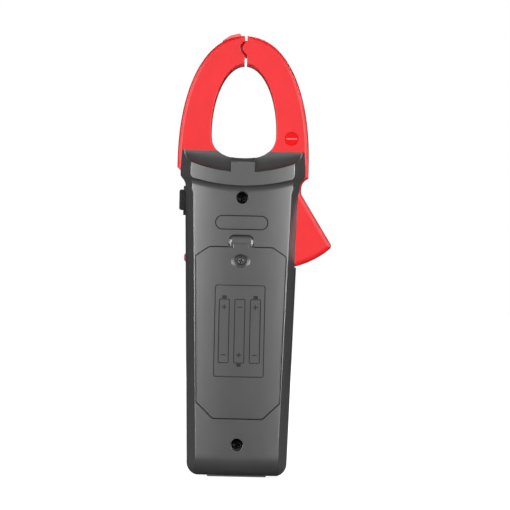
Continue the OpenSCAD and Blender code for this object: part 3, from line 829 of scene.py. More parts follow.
@dataclass
class RearForm(CaseForm):
    """The rear half's skin: a crowned face, a raised band between two pockets and a bridge."""

    crown: float = 1.5
    end_crown: float = 1.5
    band_y: float = 18.95
    low_arc: Point = (153.8, 94.3)
    high_arc: Point = (161.1, 76.7)
    ramp: float = 3.6
    floor_y: float = 11.45
    bridge: float = 6.3
    bridge_side: float = 0.16
    bridge_z: float = 166.6
    bridge_slope: float = 0.95
    lean: float = 0.66
    hub_lean: float = 0.71
    lean_from: float = 7.0
    lean_bend: float = 2.0

    def arc_z(self, low: bool, x: float) -> float:
        """Height of the band's lower or upper edge."""
        z, radius = self.low_arc if low else self.high_arc
        return z + radius - math.sqrt(radius ** 2 - min(abs(x), radius) ** 2)

    def main(self, x: float, z: float) -> float:
        """The face below the band, which rounds off at the bottom end.

        Args:
            x: The place across the case.
            z: The height.

        Returns:
            The depth.
        """
        y = self.depth - self.crown * (x / 25) ** 2
        rise = self.end_round - (z - self.lip)
        if rise > 0:
            y -= self.end_round - math.sqrt(max(self.end_round ** 2 - rise ** 2, 0))
        return y

    def face(self, x: float, z: float) -> float:
        """How far the rear skin stands behind the parting plane.

        Args:
            x: The place across the case.
            z: The height.

        Returns:
            The depth.
        """
        low, high = self.arc_z(True, x), self.arc_z(False, x)
        main = self.main(x, z)
        band = self.band_y - self.end_crown * (x / 27) ** 2
        if z <= low - self.ramp:
            return main
        if z < low:
            t = (z - low + self.ramp) / self.ramp
            return main + (band - main) * (1 - math.sqrt(1 - t * t)) * 0.9
        if z <= high or abs(x) <= self.bridge + 0.01:
            return band - max(0, z - self.bridge_z) * self.bridge_slope
        reach = self.hub_z - high
        t = max(0, 1 - (z - high) / reach)
        return self.floor_y + (band - self.floor_y) * (1 - math.sqrt(1 - t * t)) * 0.97

    def wall(self, y: float, z: float) -> float:
        """Half the width of the leaning side wall at a depth.

        Args:
            y: The depth.
            z: The height.

        Returns:
            Half the width.
        """
        blend = min(max((z - self.neck_z + 3) / 8, 0), 1)
        lean = self.lean + (self.hub_lean - self.lean) * blend
        past = max(y - self.lean_from, 0)
        bend = self.lean_bend
        return self.half_width(z) - lean * (past ** 2 / (2 * bend) if past < bend else past - bend / 2)

    def columns(self, edge: float) -> list[float]:
        """Places across the face from the middle to its edge, with the bridge's sides kept.

        Args:
            edge: Where the face ends.

        Returns:
            The places.
        """
        kink = self.kink_x
        inner = [0, 2.1, 4.2, self.bridge, self.bridge + self.bridge_side, 8.8, 11.2, kink]
        return inner + [kink + (edge - kink) * k / 10 for k in range(1, 11)]

    def heights(self) -> list[Callable[[float], float]]:
        """The rows' heights, from the bottom end to the top edge, bunched where the skin turns.

        Returns:
            The height as a function of X, for each row.
        """
        rows: list[Callable[[float], float]] = []
        for k in range(10):
            z = self.lip + self.end_round * (1 - math.cos(math.radians(10 * k)))
            rows.append(lambda x, z=z: z)
        last = 138.0
        for k in range(36):
            z = 12.5 + (last - 12.5) * k / 35
            rows.append(lambda x, z=z: z)
        for k in range(1, 9):
            rows.append(lambda x, t=k / 8: last + (self.arc_z(True, x) - self.ramp - last) * t)
        for k in range(1, 9):
            t = math.sin(math.radians(90 * k / 8.001))
            rows.append(lambda x, t=t: self.arc_z(True, x) - self.ramp * (1 - t))
        for t in (0.03, 0.2, 0.4, 0.6, 0.8, 0.97):
            rows.append(lambda x, t=t: self.arc_z(True, x) * (1 - t) + self.arc_z(False, x) * t)
        for k in range(13):
            t = 1 - math.cos(math.radians(90 * k / 12))
            t = max(t, 0.004)
            rows.append(lambda x, t=t: self.arc_z(False, x) + (self.opening(x) - self.arc_z(False, x)) * t)
        return rows


@dataclass
class FrontForm(CaseForm):
    """The display half's skin: a flat crowned face that slopes down to the jaws' shoulders."""

    crown: float = 0.35
    slope_low: float = 143.5
    slope_high: float = 155.0
    hub_y: float = 11.75
    lean: float = 2.4
    edge: float = 3.4
    end_round: float = 6.0

    def face(self, x: float, z: float) -> float:
        """How far the display skin stands in front of the parting plane.

        Args:
            x: The place across the case.
            z: The height.

        Returns:
            The depth.
        """
        y = self.depth - self.crown * (x / 25) ** 2
        rise = self.end_round - (z - self.lip)
        if rise > 0:
            y -= self.end_round - math.sqrt(max(self.end_round ** 2 - rise ** 2, 0))
        t = min(max((z - self.slope_low) / (self.slope_high - self.slope_low), 0), 1)
        return y + (self.hub_y - self.crown * (x / 25) ** 2 - y) * t * t * (3 - 2 * t)

    def wall(self, y: float, z: float) -> float:
        """Half the width of the side wall at a depth."""
        return self.half_width(z) - self.lean * (max(y, 0) / self.depth) ** 2

    def columns(self, edge: float) -> list[float]:
        """Places across the face, with the opening's corner kept."""
        kink = self.kink_x
        return [kink * k / 6 for k in range(7)] + [kink + (edge - kink) * k / 6 for k in range(1, 7)]

    def heights(self) -> list[Callable[[float], float]]:
        """The rows' heights, from the bottom end to the top edge.

        Returns:
            The height as a function of X, for each row.
        """
        levels = [self.lip + self.end_round * (1 - math.cos(math.radians(10 * k))) for k in range(10)]
        levels += [8.0 + 134.0 * k / 30 for k in range(31)]
        levels += [143.0 + k for k in range(17)]
        rows: list[Callable[[float], float]] = [lambda x, z=z: z for z in levels]
        last = 159.0
        for k in range(1, 9):
            rows.append(lambda x, t=k / 8: last + (self.opening(x) - last) * t)
        return rows


@dataclass
class DoorPlan:
    """The battery door's outline and the places of what is on it."""

    top: float = 121.5
    low: float = 31.2
    top_half: float = 23.7
    low_half: float = 21.9
    screw_z: float = 114.2
    inner_y: float = 14.7
    hooks: Point = (-9.0, 9.0)

    def outline(self, grow: float = 0) -> Outline:
        """The door's outline with its four cut corners, grown by a gap.

        Args:
            grow: The gap.

        Returns:
            The outline.
        """
        corners = [(-self.top_half + 7.1, self.top), (self.top_half - 7.1, self.top),
                   (self.top_half, self.top - 4.8), (self.low_half, self.low + 8.4),
                   (self.low_half - 8.8, self.low), (8.8 - self.low_half, self.low),
                   (-self.low_half, self.low + 8.4), (-self.top_half, self.top - 4.8)]
        return grown(rounded([(x, z, 0.9) for x, z in corners], 4), grow)


def near_level(level: float, width: float) -> Callable[[bmesh.types.BMEdge], float]:
    """Picks the sharp edges that lie at one level along Y, to be rounded by width.

    Args:
        level: Their Y.
        width: Width of the rounding.

    Returns:
        What soften picks by.
    """
    def pick(edge: bmesh.types.BMEdge) -> float:
        """Gives the edge's width.

        Args:
            edge: An edge.

        Returns:
            Its width, or 0.
        """
        if all(abs(v.co.y - level) < 0.01 for v in edge.verts) and edge.calc_face_angle(0) > 0.6:
            return width
        return 0.0
    return pick


def flared(name: str, outline: Outline, low: float, surface: float, flare: float) -> Piece:
    """A cutter whose mouth opens by a small chamfer where it meets a surface along Y.

    Args:
        name: The cutter's name.
        outline: Its outline.
        low: The bottom of the cut.
        surface: Where the surface is.
        flare: Width of the chamfer.

    Returns:
        The cutter.
    """
    layers = [(outline, low), (outline, surface - flare), (grown(outline, flare * 3), surface + flare * 2),
              (grown(outline, flare * 3), surface + 6)]
    return Piece.stack(name, layers)


@dataclass
class RearCase:
    """The rear half of the case, with its battery bay, screw wells and jaw slot."""

    door: DoorPlan
    form: RearForm
    wall: float = 2.0
    well_r: float = 3.2
    well_floor: float = 7.0
    bay_low: float = 45.2
    bay_high: float = 96.1
    bay_half: float = 17.0
    bay_floor: float = 3.25
    ledge_y: float = 14.5
    pill_z: float = 134.5
    pill_outer: Point = (28.1, 7.75)
    pill_inner: Point = (26.9, 6.55)
    lugs: Point = (10.0, 20.5)

    def inside(self) -> Piece:
        """The hollow behind the walls, without what stands in it.

        Returns:
            The cutter.
        """
        floor, roof = self.form.depth - 2.3, self.form.hollow_top
        layers = []
        for y, foot, top in ((-5.0, 2.7, 0), (3.0, 2.8, 0.3), (8.0, 3.6, 1.2), (floor, 10.2, 3.8)):
            low = self.form.half_width(20) - self.wall - top
            high = self.form.grip_top - self.wall - top
            corners = [(-low, foot, 3), (low, foot, 3), (high, roof, 0), (-high, roof, 0)]
            layers.append((rounded(corners), y))
        hollow = Piece.stack("hollow", layers)
        tubes = [Piece.turned("tube", [(self.well_r + 1.1, -6), (self.well_r + 1.1, 20)], (0, z))
                 for z in self.form.wells]
        ledge = Piece.prism("ledge", self.door.outline(2), self.ledge_y - 1.6, 20)
        bay = Piece.block("bay", (-self.bay_half - 1.6, self.bay_floor - 1.6, self.bay_low - 1.6),
                          (self.bay_half + 1.6, 20, self.bay_high + 1.6))
        column = Piece.turned("column", [(5.4, 3.5), (5.4, 20)], (0, self.door.screw_z))
        return hollow.cut(*tubes, ledge, bay, column)

    def build(self) -> Piece:
        """Moulds the rear case.

        Returns:
            The case.
        """
        form = self.form
        case = form.solid("rear_case_moulding")
        case.join(Piece.prism("lip", form.foot(), -1, 8.6))
        case.cut(self.inside(), form.jaw_slot())
        for z in form.wells:
            case.cut(flared("well", circle((0, z), self.well_r), self.well_floor, form.depth, 0.14),
                     Piece.turned("screw_hole", [(1.7, -6), (1.7, 8)], (0, z)))
        case.cut(Piece.prism("opening", self.door.outline(0.42), self.ledge_y, 24),
                 Piece.block("bay_hollow", (-self.bay_half, self.bay_floor, self.bay_low),
                             (self.bay_half, 15, self.bay_high)))
        for x in self.door.hooks:
            case.cut(Piece.block("hook_slot", (x - 3.4, 11.9, self.door.low - 2.3),
                                 (x + 3.4, 15, self.door.low + 4.8)))
        case.cut(Piece.turned("boss_hole", [(4.2, 10.8), (4.2, 15)], (0, self.door.screw_z)),
                 Piece.turned("thread_hole", [(1.8, 3), (1.8, 11)], (0, self.door.screw_z)))
        outer, inner = (pill((0, self.pill_z), *size) for size in (self.pill_outer, self.pill_inner))
        groove = Piece.prism("groove", outer, form.depth - 1.0, form.depth + 3)
        case.cut(groove.cut(Piece.prism("island", inner, 0, 30)))
        case.cut(self.recess())
        case.cut(Piece.block("button_hole", (form.grip_top - 6, -5, 137.7), (form.grip_top + 6, 4.3, 152.0)))
        for x in self.lugs:
            case.join(Piece.turned("lug", [(1.9, 0), (1.9, 11)], (x, form.neck_z - 2)))
        case.cut(Piece.turned("pin_hole", [(2.5, -6), (2.5, 13.3)], form.pivot),
                 Piece.block("parting", (-60, -9, -9), (60, form.parting, 220)))
        return case

    def recess(self) -> Piece:
        """The scooped finger hold above the battery door.

        Returns:
            The cutter.
        """
        half, low, high = 6.7, self.door.top - 0.6, self.door.top + 6.6
        shape = rounded([(-half, low, 0), (half, low, 0), (half, high, 3.1), (-half, high, 3.1)], 8)
        cutter = Piece.prism("recess", shape, self.form.depth - 1.9, self.form.depth + 5)
        return cutter.soften(near_level(self.form.depth - 1.9, 1.7), 6)

    def shades(self) -> Piece:
        """Painted shade: dark floors laid in the pill-shaped groove and in the gap round the door, where
        there is only shade.

        Returns:
            The floors.
        """
        form = self.form
        low, high = form.depth - 1.05, form.depth - 0.62
        groove = Piece.prism("groove_shades", pill((0, self.pill_z), 28.0, 7.65), low, high)
        groove.cut(Piece.prism("island", pill((0, self.pill_z), 27.0, 6.65), 0, 30))
        # Painted shade: a dark ring on the ledge in the gap round the door, with room left for the tab.
        gap = Piece.prism("gap", self.door.outline(0.4), self.ledge_y - 0.05, self.ledge_y + 0.6)
        gap.cut(Piece.prism("door_room", self.door.outline(0.04), 0, 30))
        tab = Piece.block("tab_room", (-6.8, 0, self.door.top - 1.5), (6.8, 30, self.door.top + 2))
        return groove.join(gap.cut(tab))

    def make(self) -> None:
        """Builds the rear case and dresses it."""
        self.build().finish(Finishes.REAR_GREY.value, "case", "case_grey", "rear_case", crease=38)
        # The dark floors in the groove and the door gap are painted shade.
        self.shades().finish(Finishes.SHADE.value, "case", "case_grey")


@dataclass
class BatteryDoor:
    """The screwed battery door, with its tab, dimple, frame and battery signs."""

    plan: DoorPlan
    form: RearForm
    frame_z: float = 77.35
    frame_size: Point = (26.7, 48.7)
    sign_h: float = 0.12
    sign_pitch: float = 8.2

    def crowned(self) -> Piece:
        """The space under the crowned rear face.

        Returns:
            The space.
        """
        xs = [-30 + 0.75 * k for k in range(81)]
        skin = [(x, self.form.depth - self.form.crown * (x / 25) ** 2) for x in xs]
        return Piece.prism("crowned", [(-30, 0)] + skin + [(30, 0)], 0, 200, "Z")

    def build(self) -> Piece:
        """Moulds the door.

        Returns:
            The door.
        """
        plan = self.plan
        door = Piece.prism("battery_door_moulding", plan.outline(), plan.inner_y, 24)
        tab = Piece.prism("tab", slab_outline((0, plan.top), 8.5, 3.9, 0.5), 15.3, 24)
        door.join(tab).keep(self.crowned())
        door.soften(self.rim, 2)
        door.join(Piece.turned("boss", [(3.9, 11.2), (3.9, 15)], (0, plan.screw_z)))
        for x in plan.hooks:
            door.join(Piece.block("hook", (x - 3, 12.7, plan.low - 1.8), (x + 3, 15, plan.low + 3)))
            door.cut(Piece.block("hook_gap", (x - 6, 14.3, plan.low - 3), (x + 6, 14.71, plan.low + 0.1)))
        door.cut(self.dimple())
        door.cut(flared("well", circle((0, plan.screw_z), 3.3), 12.6, self.form.depth - 0.75, 0.1))
        door.cut(Piece.turned("hole", [(1.4, 10), (1.4, 14)], (0, plan.screw_z)))
        outer = slab_outline((0, self.frame_z), *self.frame_size, 1.5)
        frame_cut = Piece.prism("frame_cut", outer, self.form.depth - 0.75, self.form.depth + 3)
        inner = Piece.prism("frame_island", grown(outer, -0.55), 0, 30)
        return door.cut(frame_cut.cut(inner))

    def rim(self, edge: bmesh.types.BMEdge) -> float:
        """Rounds the door's outer rim."""
        high = all(v.co.y > 15.0 for v in edge.verts)
        return 0.28 if high and edge.calc_face_angle(0) > 0.9 else 0.0

    def dimple(self) -> Piece:
        """The long hollow round the door screw.

        Returns:
            The cutter.
        """
        bm = bmesh.new()
        bmesh.ops.create_uvsphere(bm, u_segments=64, v_segments=32, radius=1.0)
        bmesh.ops.scale(bm, vec=(6.9, 1.2, 4.4), verts=bm.verts)
        bmesh.ops.translate(bm, vec=(0, self.form.depth + 0.72, self.plan.screw_z), verts=bm.verts)
        return Piece("dimple", bm)

    def signs(self) -> Piece:
        """Three battery shapes with a plus or a minus at each end, moulded on the door.

        Returns:
            The signs.
        """
        surface = self.form.depth - 0.6
        level = self.form.depth + self.sign_h
        parts = []
        for i in (-1, 0, 1):
            x = i * self.sign_pitch
            up = 1 if i else -1
            body = slab_outline((x, self.frame_z), 5.8, 34, 0.9)
            cell = Piece.prism("battery_signs", body, surface, level)
            cell.cut(Piece.prism("cell_inside", grown(body, -0.5), 0, 30))
            knob = slab_outline((x, self.frame_z + up * 17.9), 2.4, 1.6, 0.3)
            cell.join(Piece.prism("knob_sign", knob, surface, level))
            for sign, upright in ((up, True), (-up, False)):
                z = self.frame_z + sign * 12.6
                plus = Piece.prism("bar_sign", slab_outline((x, z), 2.6, 0.55, 0.1), surface, level)
                if upright:
                    plus.join(Piece.prism("post_sign", slab_outline((x, z), 0.55, 2.6, 0.1), surface, level))
                cell.join(plus)
            parts.append(cell)
        for other in parts[1:]:
            parts[0].join(other)
        return parts[0]

    def make(self) -> None:
        """Builds the door with its signs and dresses it."""
        self.build().finish(Finishes.DOOR_GREY.value, "door", "case_grey", "battery_door", crease=20)
        # The signs' darker grey is painted shade.
        self.signs().finish(Finishes.PAINTED_SIGN_SHADE.value, "door", "case_grey")
        outer = slab_outline((0, self.frame_z), *self.frame_size, 1.5)
        # Painted shade: a dark floor laid in the frame groove.
        floor = Piece.prism("frame_shade", grown(outer, -0.05), self.form.depth - 0.8, self.form.depth - 0.5)
        floor.cut(Piece.prism("frame_room", grown(outer, -0.5), 0, 30))
        floor.finish(Finishes.PAINTED_SIGN_SHADE.value, "door", "case_grey")


@dataclass
class Screws:
    """Cross-head screws in the case and the door."""

    door: DoorPlan
    form: RearForm

    def screw(self, name: str, z: float, head_r: float, shank_r: float, levels: Point,
              head_h: float) -> Piece:
        """Turns one screw along Y and punches its cross.

        Args:
            name: The screw's name.
            z: Where it stands.
            head_r: Radius of its head.
            shank_r: Radius of its shank.
            levels: Y of its point and of its head's top.
            head_h: Height of its head.

        Returns:
            The screw.
        """
        low, high = levels
        under = high - head_h
        profile = [(0, low), (shank_r * 0.55, low), (shank_r, low + 1.4), (shank_r, under), (head_r, under),
                   (head_r, high - head_h * 0.45), (head_r * 0.86, high - head_h * 0.12),
                   (head_r * 0.6, high), (0, high)]
        body = Piece.turned(name, profile, (0, z), 40)
        for a in (20, 110):
            c, s = math.cos(math.radians(a)), math.sin(math.radians(a))
            long, wide = head_r * 0.66, head_r * 0.15
            corners = [(c * u - s * v, z + s * u + c * v)
                       for u, v in ((-long, -wide), (long, -wide), (long, wide), (-long, wide))]
            small = [(x * 0.45, z + (w - z) * 0.45) for x, w in corners]
            layers = [(small, high - head_h * 0.8), (corners, high + 0.02), (corners, high + 1)]
            body.cut(Piece.stack("slot", layers))
        return body

    def make(self) -> None:
        """Makes the two case screws and the door screw."""
        low, high = span("case_screws")
        top, foot = self.form.wells
        pair = self.screw("case_screw_top", top, 2.76, 1.5, (low.y, high.y), 2.0)
        pair.obj.name = "case_screw_pair"
        pair.join(self.screw("case_screw_low", foot, 2.76, 1.5, (low.y, high.y), 2.0))
        pair.finish(Finishes.BLACK_STEEL.value, "case", "black_steel", "case_screws")
        low, high = span("door_screw")
        single = self.screw("door_screw_turned", self.door.screw_z, 2.1, 1.25, (low.y, high.y), 1.6)
        single.finish(Finishes.SCREW_STEEL.value, "door", "black_steel", "door_screw")


# ---- Jaws ----


@dataclass
class JawPlan:
    """The ring that both jaws share, the gap at their tips, and the trigger below."""

    half: float = 34.8
    rise: float = 68.4
    centre_z: float = 165.0
    power: float = 2.2
    open_half: float = 17.25
    open_rise: float = 35.7
    open_drop: float = 14.2
    open_z: float = 182.6
    notch: Point = (37.5, 153.0)
    notch_r: float = 6.4
    nose: Point = (223.0, 231.0)
    nose_out: float = 2.35
    nose_run: float = 2.7
    pivot: Point = (-16.5, 157.0)
    boss_r: float = 8.5
    trigger_r: float = 46.7
    thick: float = 9.0
    root_x: float = 13.45
    trigger_rim: float = 2.6
    outer_rim: float = 2.1
    inner_rim: float = 0.8
    tip_rim: float = 0.25
    hidden_rim: float = 0.1

    def outer(self, tip_x: float) -> Outline:
        """The ring's outer line on the +X side, from a tip place down to the neck's notch.

        Args:
            tip_x: Where the line starts at the tips.

        Returns:
            The line.
        """
        height = (1 - (tip_x / self.half) ** self.power) ** (1 / self.power)
        start = math.degrees(math.asin(height ** (self.power / 2)))
        points = oval((0, self.centre_z), (self.half, self.rise), self.power, start, 0, 96)
        x, z = self.notch
        meet = math.degrees(math.acos((self.half - x) / self.notch_r))
        return points + arc((x, z), self.notch_r, meet, 180, 10)

    def inner(self, tip_x: float, foot_x: float) -> Outline:
        """The ring's inner line on the +X side, from the foot up to a tip place.

        Args:
            tip_x: Where the line ends at the tips.
            foot_x: Where it starts.

        Returns:
            The line.
        """
        edge = math.degrees(math.acos((foot_x / self.open_half) ** (2.5 / 2)))
        low = oval((0, self.open_z), (self.open_half, self.open_drop), 2.5, -edge, 0, 20)
        end = math.degrees(math.acos(tip_x / self.open_half))
        return low[:-1] + oval((0, self.open_z), (self.open_half, self.open_rise), 2, 0, end, 64)

    def tip(self, x: float) -> Outline:
        """The stepped line between the jaws' tips, upwards.

        Args:
            x: Where the line stands.

        Returns:
            The line.
        """
        low, high = self.nose
        out, run = self.nose_out, self.nose_run
        return rounded([(x, low - 2, 0), (x, low, 0.5), (x + out, low + run, 0.8),
                        (x + out, high - run, 0.8), (x, high, 0.5), (x, high + 1, 0)], 4)

    def rim(self, x: float, z: float) -> float:
        """Width of the rounding where the jaw's outline passes a place.

        Args:
            x: The place across the jaw.
            z: The height.

        Returns:
            The width.
        """
        x = abs(x)
        if z < 150.5:
            return self.trigger_rim
        ring = (x / self.half) ** self.power + (max(z - self.centre_z, 0) / self.rise) ** self.power
        if ring > 0.985 or (z < self.centre_z and x > 31):
            return self.outer_rim if x > 3 else 0.5
        if x < 4 and self.nose[0] - 2.5 < z:
            return self.tip_rim
        return self.inner_rim if z > 171 else self.hidden_rim

    def ring_room(self, side: int, tip_x: float, wall: float) -> Outline:
        """The hollow inside the ring part of a jaw.

        Args:
            side: 1 for the fixed jaw, -1 for the moving one.
            tip_x: Where the hollow ends near the tips.
            wall: The wall left round it.

        Returns:
            The hollow's outline.
        """
        half, rise = self.half - wall, self.rise - wall
        top = math.degrees(math.acos((tip_x / half) ** (self.power / 2)))
        outer = oval((0, self.centre_z), (half, rise), self.power, 5, top, 40)
        half, rise = self.open_half + wall, self.open_rise + wall
        top = math.degrees(math.acos(tip_x / half))
        inner = oval((0, self.open_z), (half, rise), 2, top, -12, 40)
        return [(side * x, z) for x, z in outer + inner]


@dataclass
class Jaws:
    """The fixed and the moving jaw, each moulded in two hollow halves, with the cap and the slotted pin."""

    plan: JawPlan
    wall: float = 1.8
    fixed_tip: float = 0.45
    moving_tip: float = -0.85
    cap_half: float = 4.0
    trigger_top: Point = (-31.25, 150.1)
    trigger_sides: Point = (31.8, 11.5)  # degrees of its outer and inner side from straight down

    def fixed_outline(self) -> Outline:
        """The fixed jaw on the +X side, with its root beside the pivot.

        Returns:
            The outline.
        """
        plan = self.plan
        inner = plan.inner(self.fixed_tip, plan.root_x)
        under = oval((0, plan.open_z), (plan.open_half, plan.open_drop), 2.5, -115, -48, 16)
        saddle = [(x, z - 2.7) for x, z in under if -7.4 < x < 12.6]
        root = [(-8.4, 153.6), (-7.6, 163.0)] + saddle + [(plan.root_x, 170.6)]
        ring = [p for p in plan.outer(self.fixed_tip) if p[1] > 164.9]
        notch = arc(plan.notch, plan.notch_r + 1, 128, 176, 8)
        line = ring + [(34.8, 163.4), (33.0, 161.4), (33.0, 158.8)] + notch
        line += [(24, 152.4), (24, 148.4), (7, 148.4), (7, 153.6)]
        return line + root + inner + self.plan.tip(self.fixed_tip)

    def moving_outline(self) -> Outline:
        """The moving jaw on the -X side, one piece with its lever and its trigger.

        Returns:
            The outline.
        """
        plan = self.plan
        px, pz = plan.pivot
        mirror = [(-x, z) for x, z in plan.outer(-self.moving_tip)]
        inner = [(-x, z) for x, z in plan.inner(-self.moving_tip, plan.root_x)]
        out, low = (Vector((-math.sin(math.radians(a)), -math.cos(math.radians(a))))
                    for a in self.trigger_sides)
        top = Vector(self.trigger_top)
        to_top = top - Vector((px, pz))
        past = to_top.dot(out)
        along = -past + math.sqrt(past ** 2 - to_top.length_squared + plan.trigger_r ** 2)
        far = top + out * along
        near = Vector((px, pz)) + low * plan.trigger_r
        a0 = math.degrees(math.atan2(far.y - pz, far.x - px)) % 360
        a1 = math.degrees(math.atan2(near.y - pz, near.x - px)) % 360
        sweep = arc((px, pz), plan.trigger_r, a0 + 3.2, a1 - 3.2, 40)
        low_line = [(px + low.x * s, pz + low.y * s)
                    for s in (plan.trigger_r - 2.6, 30.0, 20.0, plan.boss_r)]
        round_far = rounded([(*(top + out * (along - 9)), 0), (*far, 2.3), (*sweep[4], 0)], 6)[1:-1]
        corner = rounded([(*sweep[-4], 0), (*near, 2.2), (*low_line[0], 0)], 6)[1:-1]
        a2 = math.degrees(math.atan2(low.y, low.x))
        boss = arc((px, pz), plan.boss_r, a2, 69, 24)
        root = [(-plan.root_x, 165.3)]
        trigger = [(-31.05, 151.6), tuple(top)] + round_far + sweep[5:-4] + corner + low_line
        return mirror + trigger + boss[1:] + root + inner + self.plan.tip(self.moving_tip)

    def shell(self, name: str, outline: Outline, half: Half) -> Piece:
        """One hollow half of a jaw.

        Args:
            name: The piece's name.
            outline: The jaw's outline.
            half: Which half it is.

        Returns:
            The half.
        """
        sign = half.value
        bm = bmesh.new()
        moves = [Vector(a) - Vector(b) for a, b in zip(grown(outline, -1), outline)]
        widths = [self.plan.rim(x, z) for x, z in outline]
        around = widths[-2:] + widths + widths[:2]
        widths = narrowed(outline, moves, [sum(around[i:i + 5]) / 5 for i in range(len(widths))])
        rings = [[bm.verts.new((x, sign * 0.03, z)) for x, z in outline]]
        for k in range(6):
            a = math.radians(18 * k)
            rings.append([bm.verts.new((x + move.x * w * (1 - math.cos(a)),
                                        sign * (self.plan.thick - w * (1 - math.sin(a))),
                                        z + move.y * w * (1 - math.cos(a))))
                          for (x, z), move, w in zip(outline, moves, widths)])
        for low, high in zip(rings, rings[1:]):
            for i in range(-1, len(outline) - 1):
                bm.faces.new((low[i], low[i + 1], high[i + 1], high[i]))
        bm.faces.new(rings[0])
        bm.faces.new(rings[-1])
        return Piece(name, bm)

    def hollow(self, side: int, half: Half) -> Piece:
        """The space inside one half of a jaw's ring."""
        ends = sorted((-half.value, half.value * (self.plan.thick - self.wall)))
        return Piece.prism("hollow", self.plan.ring_room(side, 5.0, self.wall), *ends)

    def make(self) -> None:
        """Builds and dresses the four halves, the cap and the pin."""
        for half, word in ((Half.REAR, "rear"), (Half.FRONT, "front")):
            fixed = self.shell(f"fixed_jaw_{word}_half", self.fixed_outline(), half)
            fixed.cut(self.hollow(1, half))
            seat = grown(self.cap_outline(), 0.06)
            fixed.cut(Piece.prism("cap_seat", seat, -self.cap_half - 0.1, self.cap_half + 0.1))
            fixed.finish(Finishes.JAW_RED.value, "case", "jaw_red", f"fixed_jaw_{word}_shell")
            moving = self.shell(f"moving_jaw_{word}_half", self.moving_outline(), half)
            moving.cut(self.hollow(-1, half))
            self.fit_lever(moving, half)
            moving.finish(Finishes.JAW_RED.value, "moving_jaw", "jaw_red", f"moving_jaw_{word}_shell")
        self.make_cap()
        self.make_pin()

    def tongue(self, half: Half) -> Piece:
        """The moving jaw's thin tongue that stands in the gap between the tips.

        Args:
            half: Which half's tongue.

        Returns:
            The tongue.
        """
        x = self.fixed_tip - 0.15
        low, high = self.plan.nose
        out, run = x + self.plan.nose_out, self.plan.nose_run
        line = [(-2.5, low - 0.6), (x, low - 0.6), (x, low), (out, low + run), (out, high - run), (x, high),
                (x, high + 0.4), (-2.5, high + 0.4)]
        return Piece.prism("tongue", line, *sorted((0.03 * half.value, 2.6 * half.value)))

    def fit_lever(self, jaw: Piece, half: Half) -> None:
        """Adds the tongue, bores the pivot, cuts the spring's room round it, and seats the slotted pin.

        Args:
            jaw: The moving jaw's half.
            half: Which half it is.
        """
        sign = half.value
        low, high = sorted((7.5 * sign, 12 * sign))
        jaw.join(self.tongue(half))
        jaw.cut(Piece.turned("bore", [(4.02, -10), (4.02, 10)], self.plan.pivot),
                Piece.turned("spring_room", [(6.4, low), (6.4, high)], self.plan.pivot))
        if half is Half.REAR:
            at = self.pin_at()
            jaw.cut(Piece.turned("pin_seat", [(3.7, 6), (3.7, 12)], at))

    def pin_at(self) -> Point:
        """Where the slotted pin stands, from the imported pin's box."""
        low, high = span("jaw_slotted_pin")
        return ((low.x + high.x) / 2, (low.z + high.z) / 2)

    def cap_outline(self) -> Outline:
        """The sensor cap on the fixed jaw's tip.

        Returns:
            The outline.
        """
        top = self.plan.centre_z + self.plan.rise
        return rounded([(2.1, top - 2.6, 0.3), (12.6, top - 4.3, 0.3), (12.2, top - 2.2, 0.7),
                        (8.4, top + 0.4, 3), (3.3, top + 1.75, 0.5), (1.9, top - 0.1, 0.3)], 3)

    def make_cap(self) -> None:
        """Builds the clear sensor cap."""
        outline = self.cap_outline()
        small = grown(outline, -0.15)
        ends = self.cap_half
        layers = [(small, -ends), (outline, 0.2 - ends), (outline, ends - 0.2), (small, ends)]
        cap = Piece.stack("ncv_cap_moulding", layers)
        cap.finish(Finishes.CAP_RED.value, "case", "cap_red", "ncv_sensor_cap")

    def make_pin(self) -> None:
        """Builds the slotted pin in the moving jaw's face."""
        at = self.pin_at()
        profile = [(0, 4.2), (2, 4.2), (2, 7.2), (3.65, 7.2), (3.65, 8.7), (3.4, 8.95), (0, 8.95)]
        pin = Piece.turned("slotted_pin_moulding", profile, at, 56)
        slot = Piece.prism("slot", slab_outline(at, 6.2, 0.9, 0.3), 8.3, 12)
        pin.cut(slot)
        pin.finish(Finishes.PIN_RED.value, "moving_jaw", "pin_red", "jaw_slotted_pin")
        floor = Piece.prism("pin_slot_floor", slab_outline(at, 6.0, 0.8, 0.3), 8.2, 8.55)
        floor.finish(Finishes.CAP_RED.value, "moving_jaw", "pin_red")


# ---- Display side ----


